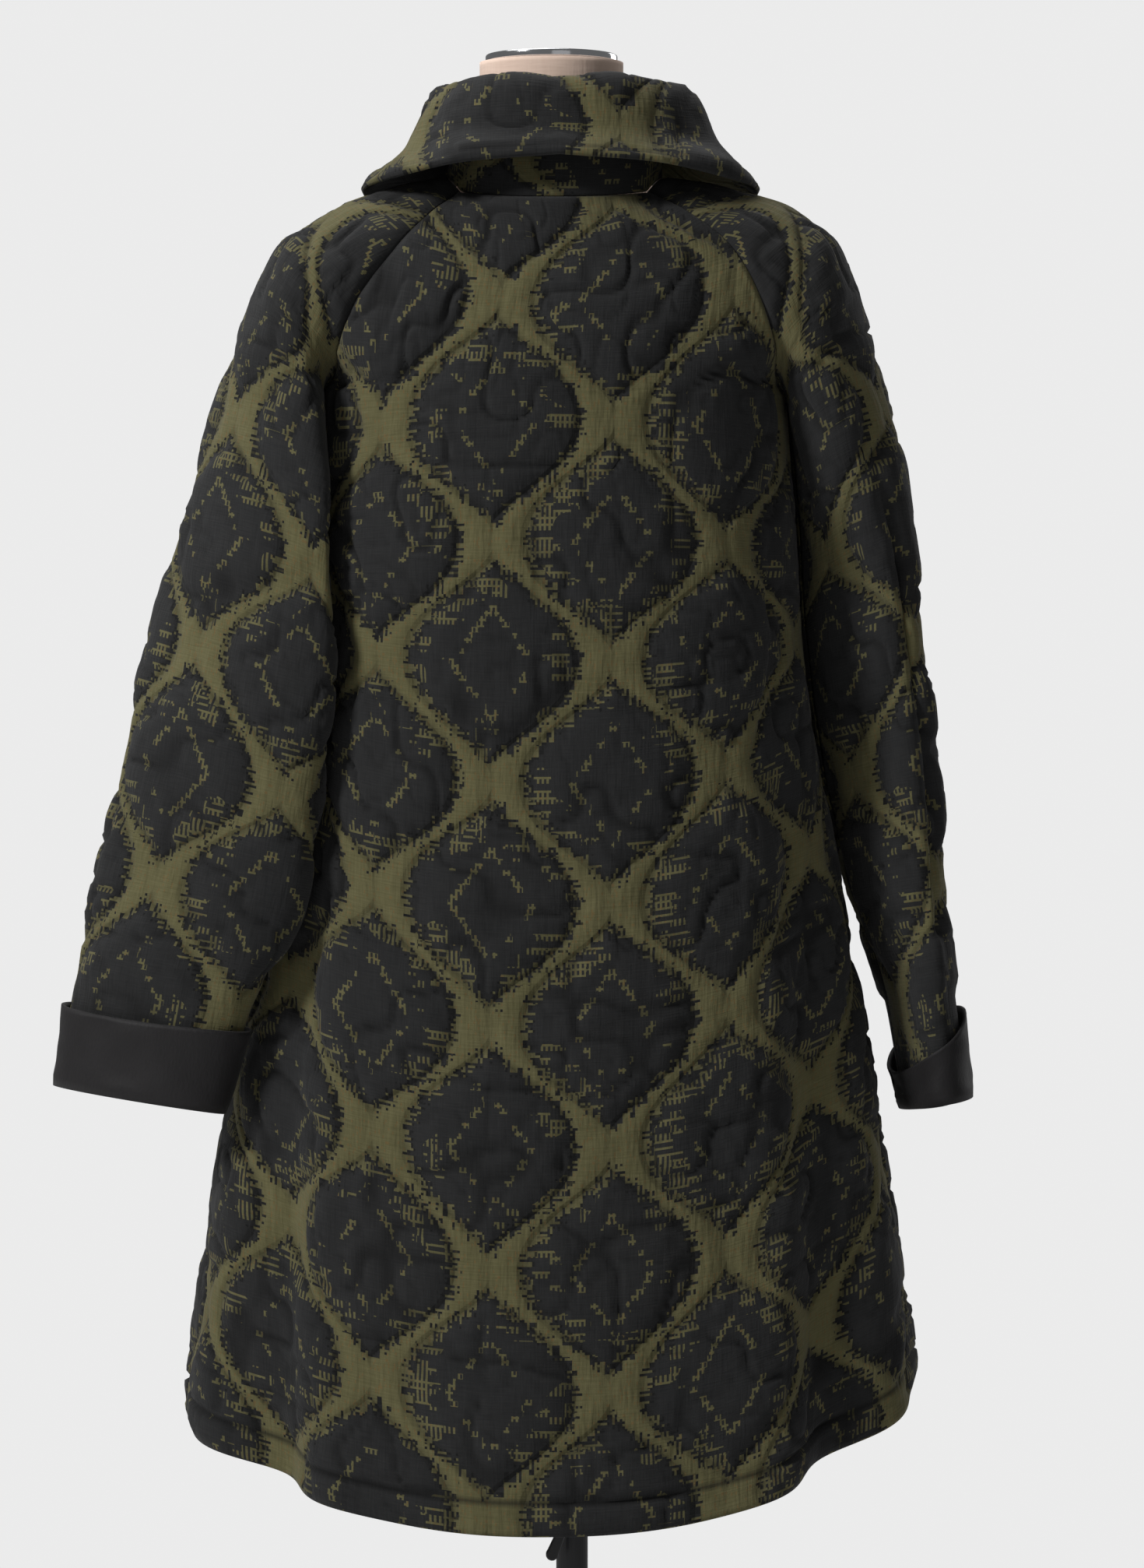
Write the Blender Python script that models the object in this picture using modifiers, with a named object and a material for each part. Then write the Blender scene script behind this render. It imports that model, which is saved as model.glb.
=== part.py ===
"""A quilted long coat, worn by a limbless dress form on a pole with a round base.

The coat's back faces -Y and its wearer's right side is +X. The origin is on the pole's axis at the floor.
Every cloth piece is a wall: its base surface comes from short tables of sections, its outer points are raised
by the quilting, and its inside is plain. All sizes are in metres, all angles in the tables in degrees.
"""
import math

import bpy
import numpy as np

# ---------------------------------------------------------------- driving dimensions

WALL = 0.0030            # cloth between two quilting lines
COLLAR_WALL = 0.0035     # two layers and an interlining
CUFF_WALL = 0.0028
SEAM_GAP = 0.0003        # between two pieces that are sewn together
NECK_SEAM_GAP = 0.0008   # between the neck edge and the collar's foot
PUFF = 0.0045            # height of a quilted puff over its base
COLLAR_PUFF = 0.7        # share of that height on the collar
EDGE_FADE = 0.022        # the puffs die away over this width along every edge
COAT_X = -0.016          # middle plane of the coat and of the dress form

LAP_WIDTH = 0.030        # the right front lies over the left one by this much
LAP_EASE = 0.018         # width over which the left front sinks beside the lap
LAP_CLEAR = 0.012        # and this much beyond the lap's edge it lies fully sunk
LAP_GAP = 0.0009

CELL_WIDTH = 0.184       # one ogee of the quilting, across the cloth
CELL_HEIGHT = 0.185      # and down the cloth
LINE_SWING = 0.036       # how far each wavy line of the lattice swings to a side
BAND_HALF = 0.013        # half the width of the band between two puffs
PUFF_SHOULDER = 0.026    # width over which a puff rises

YOKE_ROWS = 9            # grid rows from the neck to the underarm
BODY_ROWS = 22           # grid rows from the underarm to the hem
ARM_ROWS = 15            # grid rows from the underarm to the sleeve's end
BACK_COLUMNS = 26
FRONT_COLUMNS = 13
LAP_COLUMNS = 2
SLEEVE_COLUMNS = 14
COLLAR_COLUMNS = 32
COLLAR_ROWS = 9
CUFF_ROWS = 5

FIT_GAP = 0.0003         # between two hard pieces that sit on each other
NECK_TOP = 1.5370
CAP_RADIUS = 0.0515
CAP_TOP = 1.5435
CAP_Y = 0.004            # the neck's middle, in front of the pole's axis

BASE_RADIUS = 0.195
BASE_THICKNESS = 0.009
POLE_OUTER_RADIUS = 0.0123
POLE_INNER_RADIUS = 0.0100
CLAMP_BOTTOM = 0.399
CLAMP_TOP = 0.434
CLAMP_RADIUS = 0.0190
BOSS_RADIUS = 0.0085     # the boss on the clamp's back that the lever turns on
BOSS_END = -0.0245       # y of the boss's face
STUD_RADIUS = 0.0030
STUD_HEAD_RADIUS = 0.0052
STUD_HEAD = 0.0024       # thickness of the stud's head
LEVER_Z = 0.4145         # height of the lever's turning axis
LEVER_THICKNESS = 0.0080
LEVER_HUB_RADIUS = 0.0075
LEVER_NECK = 0.0036      # half width of the lever between its hub and its paddle
LEVER_TIP_RADIUS = 0.0048
LEVER_TIP_OUT = 0.0155   # the tip's middle, to the wearer's left of the axis
LEVER_TIP_DOWN = 0.0365  # and below it
BORE_SPARE = 0.010       # the bore's cutter runs out of the lever by this much on both sides

# ---------------------------------------------------------------- tables of sections


def smooth_curve(knots, values, at):
    """Cubic curve through the values at the knots, with no overshoot between two knots."""
    at = np.clip(np.asarray(at, dtype=float), knots[0], knots[-1])
    steps = np.diff(knots)
    slopes = np.diff(values) / steps
    product = slopes[:-1] * slopes[1:]
    total = slopes[:-1] + slopes[1:]
    inner = np.where(product > 0, 2 * product / np.where(total == 0, 1, total), 0.0)
    tangents = np.concatenate(([slopes[0]], inner, [slopes[-1]]))
    i = np.clip(np.searchsorted(knots, at) - 1, 0, len(steps) - 1)
    t = (at - knots[i]) / steps[i]
    rise = values[i + 1] - values[i]
    start = tangents[i] * steps[i]
    end = tangents[i + 1] * steps[i]
    return values[i] + t * start + t ** 2 * (3 * rise - 2 * start - end) + t ** 3 * (start + end - 2 * rise)


class Table:
    """Rows with named columns; the first column holds the stations that the others are read at."""

    def __init__(self, names, rows):
        self.names = names.split()
        self.columns = dict(zip(self.names, np.array(rows, dtype=float).T))
        self.stations = self.columns[self.names[0]]

    def read(self, name, at):
        return smooth_curve(self.stations, self.columns[name], at)


# "down" is 0 at the neck, 1 at the underarm and 2 at the hem or the sleeve's end. "out" is the distance from the
# coat's middle plane. A sleeve's section is an ellipse through its ridge (top of the shoulder, outside of the
# arm). It is open between its two raglan seams by "spread" on each side of the ridge, and closed from 180 on.
# "wrap" bends its front and back towards the body.
YOKE_NAMES = "down seam_out seam_y seam_z ridge_out ridge_y ridge_z breadth_out breadth_y breadth_z spread wrap"
YOKE = Table(YOKE_NAMES, (
    (0.00, 0.069, 0.005, 1.424, 0.084, 0.002, 1.4440, -0.003, 0.048, -0.009, 70, 0.000),
    (0.25, 0.097, 0.002, 1.404, 0.128, 0.001, 1.4365, -0.004, 0.072, -0.010, 78, 0.000),
    (0.50, 0.127, 0.001, 1.374, 0.177, 0.000, 1.4220, -0.004, 0.087, -0.010, 88, 0.000),
    (0.72, 0.153, -0.001, 1.335, 0.210, -0.002, 1.3970, -0.003, 0.089, -0.010, 103, 0.000),
    (0.88, 0.169, -0.003, 1.302, 0.228, -0.004, 1.3640, -0.001, 0.087, -0.008, 128, 0.002),
    (1.00, 0.177, -0.003, 1.278, 0.240, -0.006, 1.3340, 0.000, 0.084, -0.004, 180, 0.014),
))

# An arm's section: its centre, the tilt of its plane (outer side up), its long and flat half sizes, the turn of
# its long side from straight ahead to the outside, and the roll of the cloth round it.
ARM_NAMES = "down out y z tilt long flat turn roll wrap"
ARMS = {
    "left": Table(ARM_NAMES, (
        (1.18, 0.231, -0.028, 1.205, 26, 0.085, 0.041, 24, 20, 0.030),
        (1.34, 0.236, -0.052, 1.115, 19, 0.088, 0.039, 46, 36, 0.012),
        (1.55, 0.249, -0.072, 1.000, 15, 0.089, 0.036, 60, 46, 0.000),
        (1.73, 0.268, -0.076, 0.900, 12, 0.087, 0.035, 66, 50, 0.000),
        (1.87, 0.298, -0.070, 0.813, 9, 0.075, 0.033, 66, 50, 0.000),
        (2.00, 0.316, -0.062, 0.735, 8, 0.072, 0.032, 62, 46, 0.000),
    )),
    "right": Table(ARM_NAMES, (
        (1.18, 0.230, 0.002, 1.205, 26, 0.084, 0.041, -18, -11, 0.018),
        (1.34, 0.238, 0.012, 1.115, 19, 0.082, 0.037, -26, -17, 0.004),
        (1.55, 0.252, 0.014, 1.000, 14, 0.081, 0.034, -27, -18, 0.002),
        (1.73, 0.268, 0.009, 0.905, 11, 0.078, 0.030, -19, -13, 0.000),
        (1.87, 0.287, 0.001, 0.815, 12, 0.076, 0.024, -8, -7, 0.000),
        (2.00, 0.300, -0.004, 0.730, 12, 0.071, 0.024, -5, -4, 0.000),
    )),
}

# The side line of the body, below the underarm.
SIDE = Table("down out y z", (
    (1.00, 0.177, -0.003, 1.278),
    (1.09, 0.183, -0.003, 1.207),
    (1.23, 0.191, -0.002, 1.097),
    (1.33, 0.199, -0.001, 1.018),
    (1.43, 0.214, 0.000, 0.939),
    (1.52, 0.226, 0.000, 0.868),
    (1.67, 0.246, 0.000, 0.750),
    (1.80, 0.262, 0.000, 0.648),
    (1.92, 0.276, 0.000, 0.553),
    (2.00, 0.284, 0.000, 0.490),
))

# The middle lines of the back and of the front. "arc" spreads the columns over a row; "power" and "close" give
# its section: 2 and 1 a flat parabola, 2 and 2 an ellipse, more a squarer one.
MIDDLE = Table("down back_y back_z front_y front_z arc power close", (
    (0.00, -0.078, 1.426, 0.086, 1.386, 58, 2.0, 1.25),
    (0.25, -0.098, 1.397, 0.104, 1.352, 50, 2.0, 1.15),
    (0.50, -0.112, 1.365, 0.121, 1.318, 50, 2.0, 1.15),
    (0.72, -0.121, 1.330, 0.133, 1.292, 56, 2.1, 1.25),
    (0.88, -0.126, 1.299, 0.140, 1.273, 68, 2.3, 1.60),
    (1.00, -0.128, 1.273, 0.144, 1.259, 86, 2.5, 2.45),
    (1.33, -0.137, 0.985, 0.152, 0.978, 88, 2.4, 2.40),
    (1.67, -0.164, 0.694, 0.175, 0.692, 88, 2.2, 2.20),
    (2.00, -0.203, 0.412, 0.208, 0.418, 88, 2.1, 2.10),
))
SIDE_RISE_POWER = 2.4    # how late a row rises from its middle to its side
RIGHT_HEM_LIFT = 0.026   # the hem hangs this much higher at the wearer's right side
RIGHT_LIFT_POWER = 4     # only close to the side seam

# The coat's middle plane, which leans a little between the shoulders and the hem.
LEAN = Table("down x", (
    (0.00, -0.014),
    (0.25, -0.009),
    (0.50, -0.006),
    (0.72, -0.010),
    (1.00, -0.013),
    (1.40, -0.016),
    (2.00, -0.017),
))

# Flare folds of the skirt. "at_top" and "at_hem" are angles round the body from the middle of the back, towards
# the wearer's right; "height" is at the hem, outwards, and it starts from nothing at "start".
FOLD_NAMES = "fold at_top at_hem half_width height start"
FOLDS = tuple(
    dict(zip(FOLD_NAMES.split(), row)) for row in (
        ("back_left_crest", -58, -37, 9, 0.012, 1.05),
        ("back_left_trough", -68, -49, 8, -0.020, 1.10),
        ("side_left_crest", -80, -64, 10, 0.014, 1.45),
        ("back_right_crest", 57, 38, 9, 0.010, 1.05),
        ("back_right_trough", 68, 50, 8, -0.018, 1.10),
        ("side_right_crest", 80, 65, 10, 0.014, 1.25),
        ("back_middle_swell", -10, -8, 16, 0.006, 1.40),
        ("front_left_trough", -118, -122, 10, -0.018, 1.20),
        ("front_left_crest", -135, -141, 10, 0.014, 1.15),
        ("front_right_trough", 120, 124, 10, -0.018, 1.20),
        ("front_right_crest", 137, 143, 10, 0.013, 1.15),
    )
)

# Long troughs down a sleeve, where its broad side folds in. "around" runs from -1 (seam) over the back to 0.
SLEEVE_TROUGHS = {
    "left": (dict(around=-0.50, half_width=0.30, depth=0.006, first=1.05, last=1.55),),
    "right": (dict(around=-0.60, half_width=0.34, depth=0.015, first=0.85, last=1.95),),
}

# The collar: "angle" runs round the neck from the middle of the back. The roll is its top, the edge is the end
# of the fall; x is to the side of the collar's own middle, which sits a little to the wearer's right.
COLLAR_SHIFT = 0.007
COLLAR_END = 174.0
COLLAR_START = 0.075     # it starts this far from the front's middle, as a share of the panel's half width
COLLAR = Table("angle roll_x roll_y roll_z edge_x edge_y edge_z", (
    (0, 0.000, -0.070, 1.5160, 0.000, -0.103, 1.456),
    (25, 0.043, -0.062, 1.5170, 0.070, -0.098, 1.451),
    (50, 0.075, -0.038, 1.5165, 0.122, -0.075, 1.442),
    (75, 0.091, -0.004, 1.5145, 0.149, -0.034, 1.4375),
    (100, 0.093, 0.034, 1.508, 0.154, 0.028, 1.4375),
    (125, 0.081, 0.068, 1.494, 0.142, 0.088, 1.418),
    (150, 0.051, 0.093, 1.474, 0.098, 0.137, 1.388),
    (165, 0.024, 0.101, 1.462, 0.056, 0.156, 1.370),
    (174, 0.009, 0.103, 1.457, 0.028, 0.163, 1.360),
))
ROLL_RADIUS = 0.0095
FALL_HOLLOW = 0.009      # the fall hangs in by this much before it flares to its edge

# A turned-back cuff: its mean height, and how much higher it is on one side of the sleeve ("at", as "around").
CUFFS = {
    "left": dict(height=0.063, swing=0.004, at=0.80),
    "right": dict(height=0.047, swing=0.020, at=0.10),
}
CUFF_TALLEST = 0.068
CUFF_CLEAR = 0.0022      # between the sleeve and the turned-back cloth
CUFF_FLARE = 0.0022      # how much more the cuff's top edge stands off
CUFF_START = 0.006       # the turn at the bottom ends at this height

# The dress form: each ring has its own heights at the side, back and front.
FORM = Table("ring middle half back front z_side z_back z_front", (
    (0, -0.0160, 0.0560, 0.052, 0.060, 1.537, 1.537, 1.537),
    (1, -0.0160, 0.0560, 0.052, 0.060, 1.505, 1.505, 1.505),
    (2, -0.0160, 0.0580, 0.053, 0.061, 1.474, 1.474, 1.468),
    (3, -0.0155, 0.0640, 0.057, 0.062, 1.4520, 1.444, 1.430),
    (4, -0.0130, 0.0780, 0.062, 0.064, 1.4400, 1.416, 1.392),
    (5, -0.0090, 0.1280, 0.076, 0.078, 1.4290, 1.384, 1.354),
    (6, -0.0072, 0.1570, 0.086, 0.090, 1.4190, 1.350, 1.318),
    (7, -0.0066, 0.1690, 0.094, 0.102, 1.4030, 1.310, 1.282),
    (8, -0.0075, 0.1680, 0.100, 0.114, 1.3700, 1.270, 1.246),
    (9, -0.0100, 0.1560, 0.102, 0.118, 1.3000, 1.210, 1.200),
    (10, -0.0130, 0.1480, 0.096, 0.110, 1.2000, 1.130, 1.130),
    (11, -0.0150, 0.1300, 0.086, 0.094, 1.0700, 1.050, 1.050),
    (12, -0.0160, 0.1540, 0.104, 0.104, 0.9300, 0.930, 0.930),
    (13, -0.0160, 0.1640, 0.112, 0.108, 0.8300, 0.830, 0.830),
    (14, -0.0160, 0.1600, 0.108, 0.104, 0.7600, 0.760, 0.760),
    (15, -0.0160, 0.1450, 0.094, 0.090, 0.7450, 0.745, 0.745),
))
FORM_SEGMENTS = 32
FORM_BOTTOM = 0.745      # height of the form's flat underside

# ---------------------------------------------------------------- shape of the coat


def unit(vectors):
    length = np.linalg.norm(vectors, axis=-1, keepdims=True)
    return vectors / np.where(length < 1e-12, 1, length)


def point(x, y, z):
    return np.stack(np.broadcast_arrays(x, y, z), axis=-1)


def smooth_step(value):
    value = np.clip(value, 0, 1)
    return value * value * (3 - 2 * value)


def yoke_frames():
    """Centre, ridge arm, breadth arm, spread and wrap of each yoke row."""
    column = YOKE.columns
    seam = point(column["seam_out"], column["seam_y"], column["seam_z"])
    ridge = point(column["ridge_out"], column["ridge_y"], column["ridge_z"])
    breadth = point(column["breadth_out"], column["breadth_y"], column["breadth_z"])
    reach = 1 - np.cos(np.radians(column["spread"]))
    arm = (ridge - seam) / reach[:, None]
    return ridge - arm, arm, breadth, column["spread"], column["wrap"]


def arm_frames(table):
    """The same five, for the closed rows of an arm."""
    column = table.columns
    tilt = np.radians(column["tilt"])
    turn = np.radians(column["turn"])
    roll = np.radians(column["roll"])[:, None]
    outward = point(np.cos(tilt), 0, np.sin(tilt))
    forward = point(0, 1, 0)
    flat = column["flat"][:, None] * (np.cos(turn)[:, None] * outward - np.sin(turn)[:, None] * forward)
    long = column["long"][:, None] * (np.sin(turn)[:, None] * outward + np.cos(turn)[:, None] * forward)
    centre = point(column["out"], column["y"], column["z"])
    ridge_arm = flat * np.cos(roll) + long * np.sin(roll)
    breadth_arm = long * np.cos(roll) - flat * np.sin(roll)
    return centre, ridge_arm, breadth_arm, np.full(len(tilt), 180.0), column["wrap"]


def sleeve_surface(side, down, around):
    """Points of a sleeve's base surface; around is -1 at the back seam, 0 on the ridge, 1 at the front seam."""
    top = yoke_frames()
    low = arm_frames(ARMS[side])
    knots = np.concatenate((YOKE.stations, ARMS[side].stations))
    centre, arm, breadth = (
        np.stack([smooth_curve(knots, line, down) for line in np.concatenate((top[k], low[k])).T], axis=-1)
        for k in range(3)
    )
    angle = np.radians(smooth_curve(knots, np.concatenate((top[3], low[3])), down)) * around
    place = centre + arm * np.cos(angle)[..., None] + breadth * np.sin(angle)[..., None]
    place[..., 0] -= smooth_curve(knots, np.concatenate((top[4], low[4])), down) * np.sin(angle) ** 2
    inward = -unit(place - centre)
    for trough in SLEEVE_TROUGHS[side]:
        along = (down - trough["first"]) / (trough["last"] - trough["first"])
        window = np.sin(np.pi * np.clip(along, 0, 1)) ** 2
        away = np.clip((around - trough["around"]) / trough["half_width"], -1, 1)
        across = np.cos(away * np.pi / 2) ** 2
        place = place + inward * (trough["depth"] * window * across)[..., None]
    sign = -1 if side == "left" else 1
    place[..., 0] = LEAN.read("x", down) + sign * place[..., 0]
    return place


def body_edge(face, down):
    """Distance out, y and z of the line where a body panel ends: raglan seam, then side seam."""
    seam = sleeve_surface("right", np.minimum(down, 1.0), np.full_like(down, -1.0 if face == "back" else 1.0))
    below = down > 1.0
    out = np.where(below, SIDE.read("out", down), seam[..., 0] - LEAN.read("x", down))
    y = np.where(below, SIDE.read("y", down), seam[..., 1])
    z = np.where(below, SIDE.read("z", down), seam[..., 2])
    return out, y, z


def fold_height(down, degrees):
    """Height of the flare folds at an angle round the body."""
    height = np.zeros(np.broadcast(down, degrees).shape)
    for fold in FOLDS:
        share = np.clip((down - fold["start"]) / (2.0 - fold["start"]), 0, 1)
        middle = fold["at_top"] + (fold["at_hem"] - fold["at_top"]) * np.clip(down - 1.0, 0, 1)
        away = (degrees - middle + 180.0) % 360.0 - 180.0
        height = height + fold["height"] * share ** 1.2 * np.exp(-(away / fold["half_width"]) ** 2)
    return height


def body_surface(face, down, across):
    """Points of the back or front; across is -1 on the wearer's left edge and 1 on the right one."""
    out, edge_y, edge_z = body_edge(face, down)
    middle_y = MIDDLE.read(face + "_y", down)
    middle_z = MIDDLE.read(face + "_z", down)
    arc = np.radians(MIDDLE.read("arc", down))
    lateral = np.sin(across * arc) / np.sin(arc)
    fullness = np.clip(1 - np.abs(lateral) ** MIDDLE.read("power", down), 0, 1)
    depth = fullness ** (1 / MIDDLE.read("close", down))
    x = LEAN.read("x", down) + out * lateral
    y = edge_y + (middle_y - edge_y) * depth
    lift = RIGHT_HEM_LIFT * smooth_step(down - 1.0) * np.clip(lateral, 0, 1) ** RIGHT_LIFT_POWER
    z = middle_z + (edge_z - middle_z) * np.abs(lateral) ** SIDE_RISE_POWER + lift
    degrees = across * 90.0 if face == "back" else 180.0 - across * 90.0
    height = fold_height(down, degrees)
    turn = np.radians(degrees)
    return point(x + height * np.sin(turn), y - height * np.cos(turn), z)


def lap_share(down, distance):
    """One for each distance from the front's middle, as a share of the panel's half width."""
    out, _, _ = body_edge("front", down)
    arc = np.radians(MIDDLE.read("arc", down))
    return distance * np.sin(arc) / (out * arc)


# ---------------------------------------------------------------- quilting


def puff(across, along):
    """Share of the full puff height at a place on the cloth, in metres across and along the grain."""
    half = CELL_WIDTH / 2
    swing = LINE_SWING * np.cos(2 * math.pi * along / CELL_HEIGHT)
    nearest = np.full(np.shape(across), CELL_WIDTH)
    column = np.floor(across / half)
    for step in (-1, 0, 1, 2):
        line = column + step
        sign = np.where(np.mod(line, 2) == 0, 1.0, -1.0)
        nearest = np.minimum(nearest, np.abs(across - line * half - sign * swing))
    return smooth_step((nearest - BAND_HALF) / PUFF_SHOULDER)


def grain(places, zero_column):
    """Arc length across from a column and down along it, for a grid of points."""
    steps = np.linalg.norm(np.diff(places, axis=1), axis=-1)
    across = np.concatenate((np.zeros((len(places), 1)), np.cumsum(steps, axis=1)), axis=1)
    across = across - across[:, zero_column:zero_column + 1]
    drops = np.linalg.norm(np.diff(places[:, zero_column], axis=0), axis=-1)
    along = np.concatenate(([0.0], np.cumsum(drops)))
    return across, np.broadcast_to(along[:, None], across.shape)


def edge_distance(places):
    """Distance of each grid point to the nearest of the grid's four edges, along its row and column."""
    rows, columns = places.shape[:2]
    runs = np.linalg.norm(np.diff(places, axis=1), axis=-1)
    drops = np.linalg.norm(np.diff(places, axis=0), axis=-1)
    across = np.concatenate((np.zeros((rows, 1)), np.cumsum(runs, axis=1)), axis=1)
    along = np.concatenate((np.zeros((1, columns)), np.cumsum(drops, axis=0)), axis=0)
    sideways = np.minimum(across, across[:, -1:] - across)
    lengthways = np.minimum(along, along[-1:] - along)
    return np.minimum(sideways, lengthways)


# ---------------------------------------------------------------- walls


def grid_normals(places):
    """Sum of the unit normals of the cells round each point, on the side of cross(row step, column step)."""
    rows = places[1:, :-1] + places[1:, 1:] - places[:-1, :-1] - places[:-1, 1:]
    columns = places[:-1, 1:] + places[1:, 1:] - places[:-1, :-1] - places[1:, :-1]
    cells = unit(np.cross(rows, columns))
    total = np.zeros_like(places)
    total[:-1, :-1] += cells
    total[1:, :-1] += cells
    total[:-1, 1:] += cells
    total[1:, 1:] += cells
    return total


def share_normals(panels):
    """Unit normals, the same for points that two or more panels of a family share along their seams."""
    places = np.concatenate([panel["places"].reshape(-1, 3) for panel in panels])
    normals = np.concatenate([panel["normals"].reshape(-1, 3) for panel in panels])
    families = np.concatenate([panel["family"].reshape(-1) for panel in panels])
    keys = np.round(np.column_stack((places, families)) / 2e-5).astype(np.int64)
    _, group = np.unique(keys, axis=0, return_inverse=True)
    group = group.reshape(-1)
    total = np.zeros((group.max() + 1, 3))
    np.add.at(total, group, normals)
    shared = unit(total)[group]
    start = 0
    for panel in panels:
        size = panel["normals"].size // 3
        panel["normals"] = shared[start:start + size].reshape(panel["normals"].shape)
        start += size


def inset(places, normals, gap):
    """Move the four edges of a grid into its own surface by the gap."""
    moved = places.copy()
    for axis in (0, 1):
        for first, second in ((0, 1), (-1, -2)):
            edge = np.take(places, first, axis=axis)
            inner = np.take(places, second, axis=axis)
            normal = np.take(normals, first, axis=axis)
            side = unit(np.cross(normal, np.gradient(edge, axis=0)))
            side = side * np.sign(np.sum(side * (inner - edge), axis=-1, keepdims=True))
            if axis == 0:
                moved[first] += side * gap
            else:
                moved[:, first] += side * gap
    return moved


def wall_mesh(name, outer, inner, flip=False, first_cut=1):
    """A closed wall between two grids of the same size; first_cut turns the pattern of its cells' diagonals."""
    rows, columns = outer.shape[:2]
    count = rows * columns
    number = np.arange(count).reshape(rows, columns)
    faces = []
    for j in range(rows - 1):
        for i in range(columns - 1):
            a, b, c, d = number[j, i], number[j + 1, i], number[j + 1, i + 1], number[j, i + 1]
            if (i + j) % 2 == first_cut:
                faces += [(a, b, c), (a, c, d)]
            else:
                faces += [(a, b, d), (b, c, d)]
    faces += [tuple(v + count for v in reversed(face)) for face in faces]
    rim = (
        list(number[:, 0]) + list(number[-1, 1:]) + list(number[-2::-1, -1]) + list(number[0, -2:0:-1])
    )
    for here, there in zip(rim, rim[1:] + rim[:1]):
        if here < there:
            faces += [(there, here, here + count), (there, here + count, there + count)]
        else:
            faces += [(there, here, there + count), (here, here + count, there + count)]
    if flip:
        faces = [tuple(reversed(face)) for face in faces]
    mesh = bpy.data.meshes.new(name)
    mesh.from_pydata(np.concatenate((outer.reshape(-1, 3), inner.reshape(-1, 3))).tolist(), [], faces)
    mesh.validate()
    return mesh


def steps(rows_yoke, rows_low):
    """Stations from the neck over the underarm to the end."""
    return np.concatenate((np.linspace(0, 1, rows_yoke + 1), np.linspace(1, 2, rows_low + 1)[1:]))


def coat_panels():
    """Base grids of the five panels that meet at the underarms."""
    body_down = steps(YOKE_ROWS, BODY_ROWS)[:, None]
    arm_down = steps(YOKE_ROWS, ARM_ROWS)[:, None]
    back_across = np.linspace(-1, 1, BACK_COLUMNS + 1)[None, :] + 0 * body_down
    half = np.linspace(0, 1, FRONT_COLUMNS + 1)[None, :] + 0 * body_down
    lap = np.linspace(-1, 0, LAP_COLUMNS + 1)[None, :-1] * lap_share(body_down, LAP_WIDTH)
    around = np.linspace(-1, 1, SLEEVE_COLUMNS + 1)[None, :] + 0 * arm_down
    body_down = body_down + 0 * half[:, :1]
    right_across = np.concatenate((lap, half), axis=1)
    panels = {
        "back": dict(places=body_surface("back", body_down + 0 * back_across, back_across), out=1,
                     zero=BACK_COLUMNS // 2),
        "front_left": dict(places=body_surface("front", body_down + 0 * half, half - 1), out=-1,
                           zero=FRONT_COLUMNS),
        "front_right": dict(places=body_surface("front", body_down + 0 * right_across, right_across), out=-1,
                            zero=LAP_COLUMNS),
        "sleeve_left": dict(places=sleeve_surface("left", arm_down + 0 * around, around), out=-1,
                            zero=SLEEVE_COLUMNS // 2),
        "sleeve_right": dict(places=sleeve_surface("right", arm_down + 0 * around, around), out=1,
                             zero=SLEEVE_COLUMNS // 2),
    }
    for name, panel in panels.items():
        panel["normals"] = grid_normals(panel["places"]) * panel["out"]
        below = (arm_down if name.startswith("sleeve") else body_down[:, :1]) > 1 - 1e-6
        panel["family"] = (below & name.startswith("sleeve")) + np.zeros(panel["places"].shape[:2])
    share_normals(list(panels.values()))
    return panels


def sink_under_lap(panel):
    """Move the left front in, where the right one lies over it."""
    across = panel["across"]
    depth = WALL + LAP_GAP
    reach = LAP_WIDTH + LAP_CLEAR + LAP_EASE
    share = smooth_step((reach + across) / LAP_EASE)
    panel["places"] = panel["places"] - panel["normals"] * (depth * share)[..., None]
    panel["relief"] = panel["relief"] * (1 - smooth_step((reach + LAP_EASE + across) / LAP_EASE))


def relief_mask(name, panel):
    """Where the puffs lie flat: under the collar, at the underarm and inside the cuffs."""
    down = panel["down"]
    covered = 0.40 if name.startswith("sleeve") else 0.10
    mask = smooth_step((down - covered) / 0.20)
    if name.startswith("sleeve"):
        near_seam = smooth_step((1 - np.abs(panel["around"])) / 0.28)
        armpit = smooth_step((down - 0.75) / 0.2) * (1 - smooth_step((down - 1.75) / 0.15))
        mask = mask * (1 - armpit * (1 - near_seam))
        mask = mask * smooth_step((panel["along"][-1:] - panel["along"] - CUFF_TALLEST - 0.004) / 0.03)
    else:
        side = smooth_step((1 - np.abs(panel["share"])) / 0.30)
        armpit = smooth_step((down - 0.75) / 0.2) * (1 - smooth_step((down - 1.55) / 0.2))
        mask = mask * (1 - armpit * (1 - side))
    return mask


# ---------------------------------------------------------------- collar and cuffs


def neck_ring(count):
    """Points of the neck seam, even along its length, from the left front's middle round the back."""
    fine = 60
    along = np.linspace(0, 1, fine + 1)
    zero = np.zeros_like(along)
    spans = (
        body_surface("front", zero, -COLLAR_START - (1 - COLLAR_START) * along),
        sleeve_surface("left", zero, 1 - 2 * along),
        body_surface("back", zero, -1 + 2 * along),
        sleeve_surface("right", zero, -1 + 2 * along),
        body_surface("front", zero, 1 - (1 - COLLAR_START) * along),
    )
    line = np.concatenate([span if k == 0 else span[1:] for k, span in enumerate(spans)])
    length = np.concatenate(([0.0], np.cumsum(np.linalg.norm(np.diff(line, axis=0), axis=-1))))
    even = np.linspace(0, length[-1], count)
    return np.stack([np.interp(even, length, line[:, c]) for c in range(3)], axis=-1)


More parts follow.
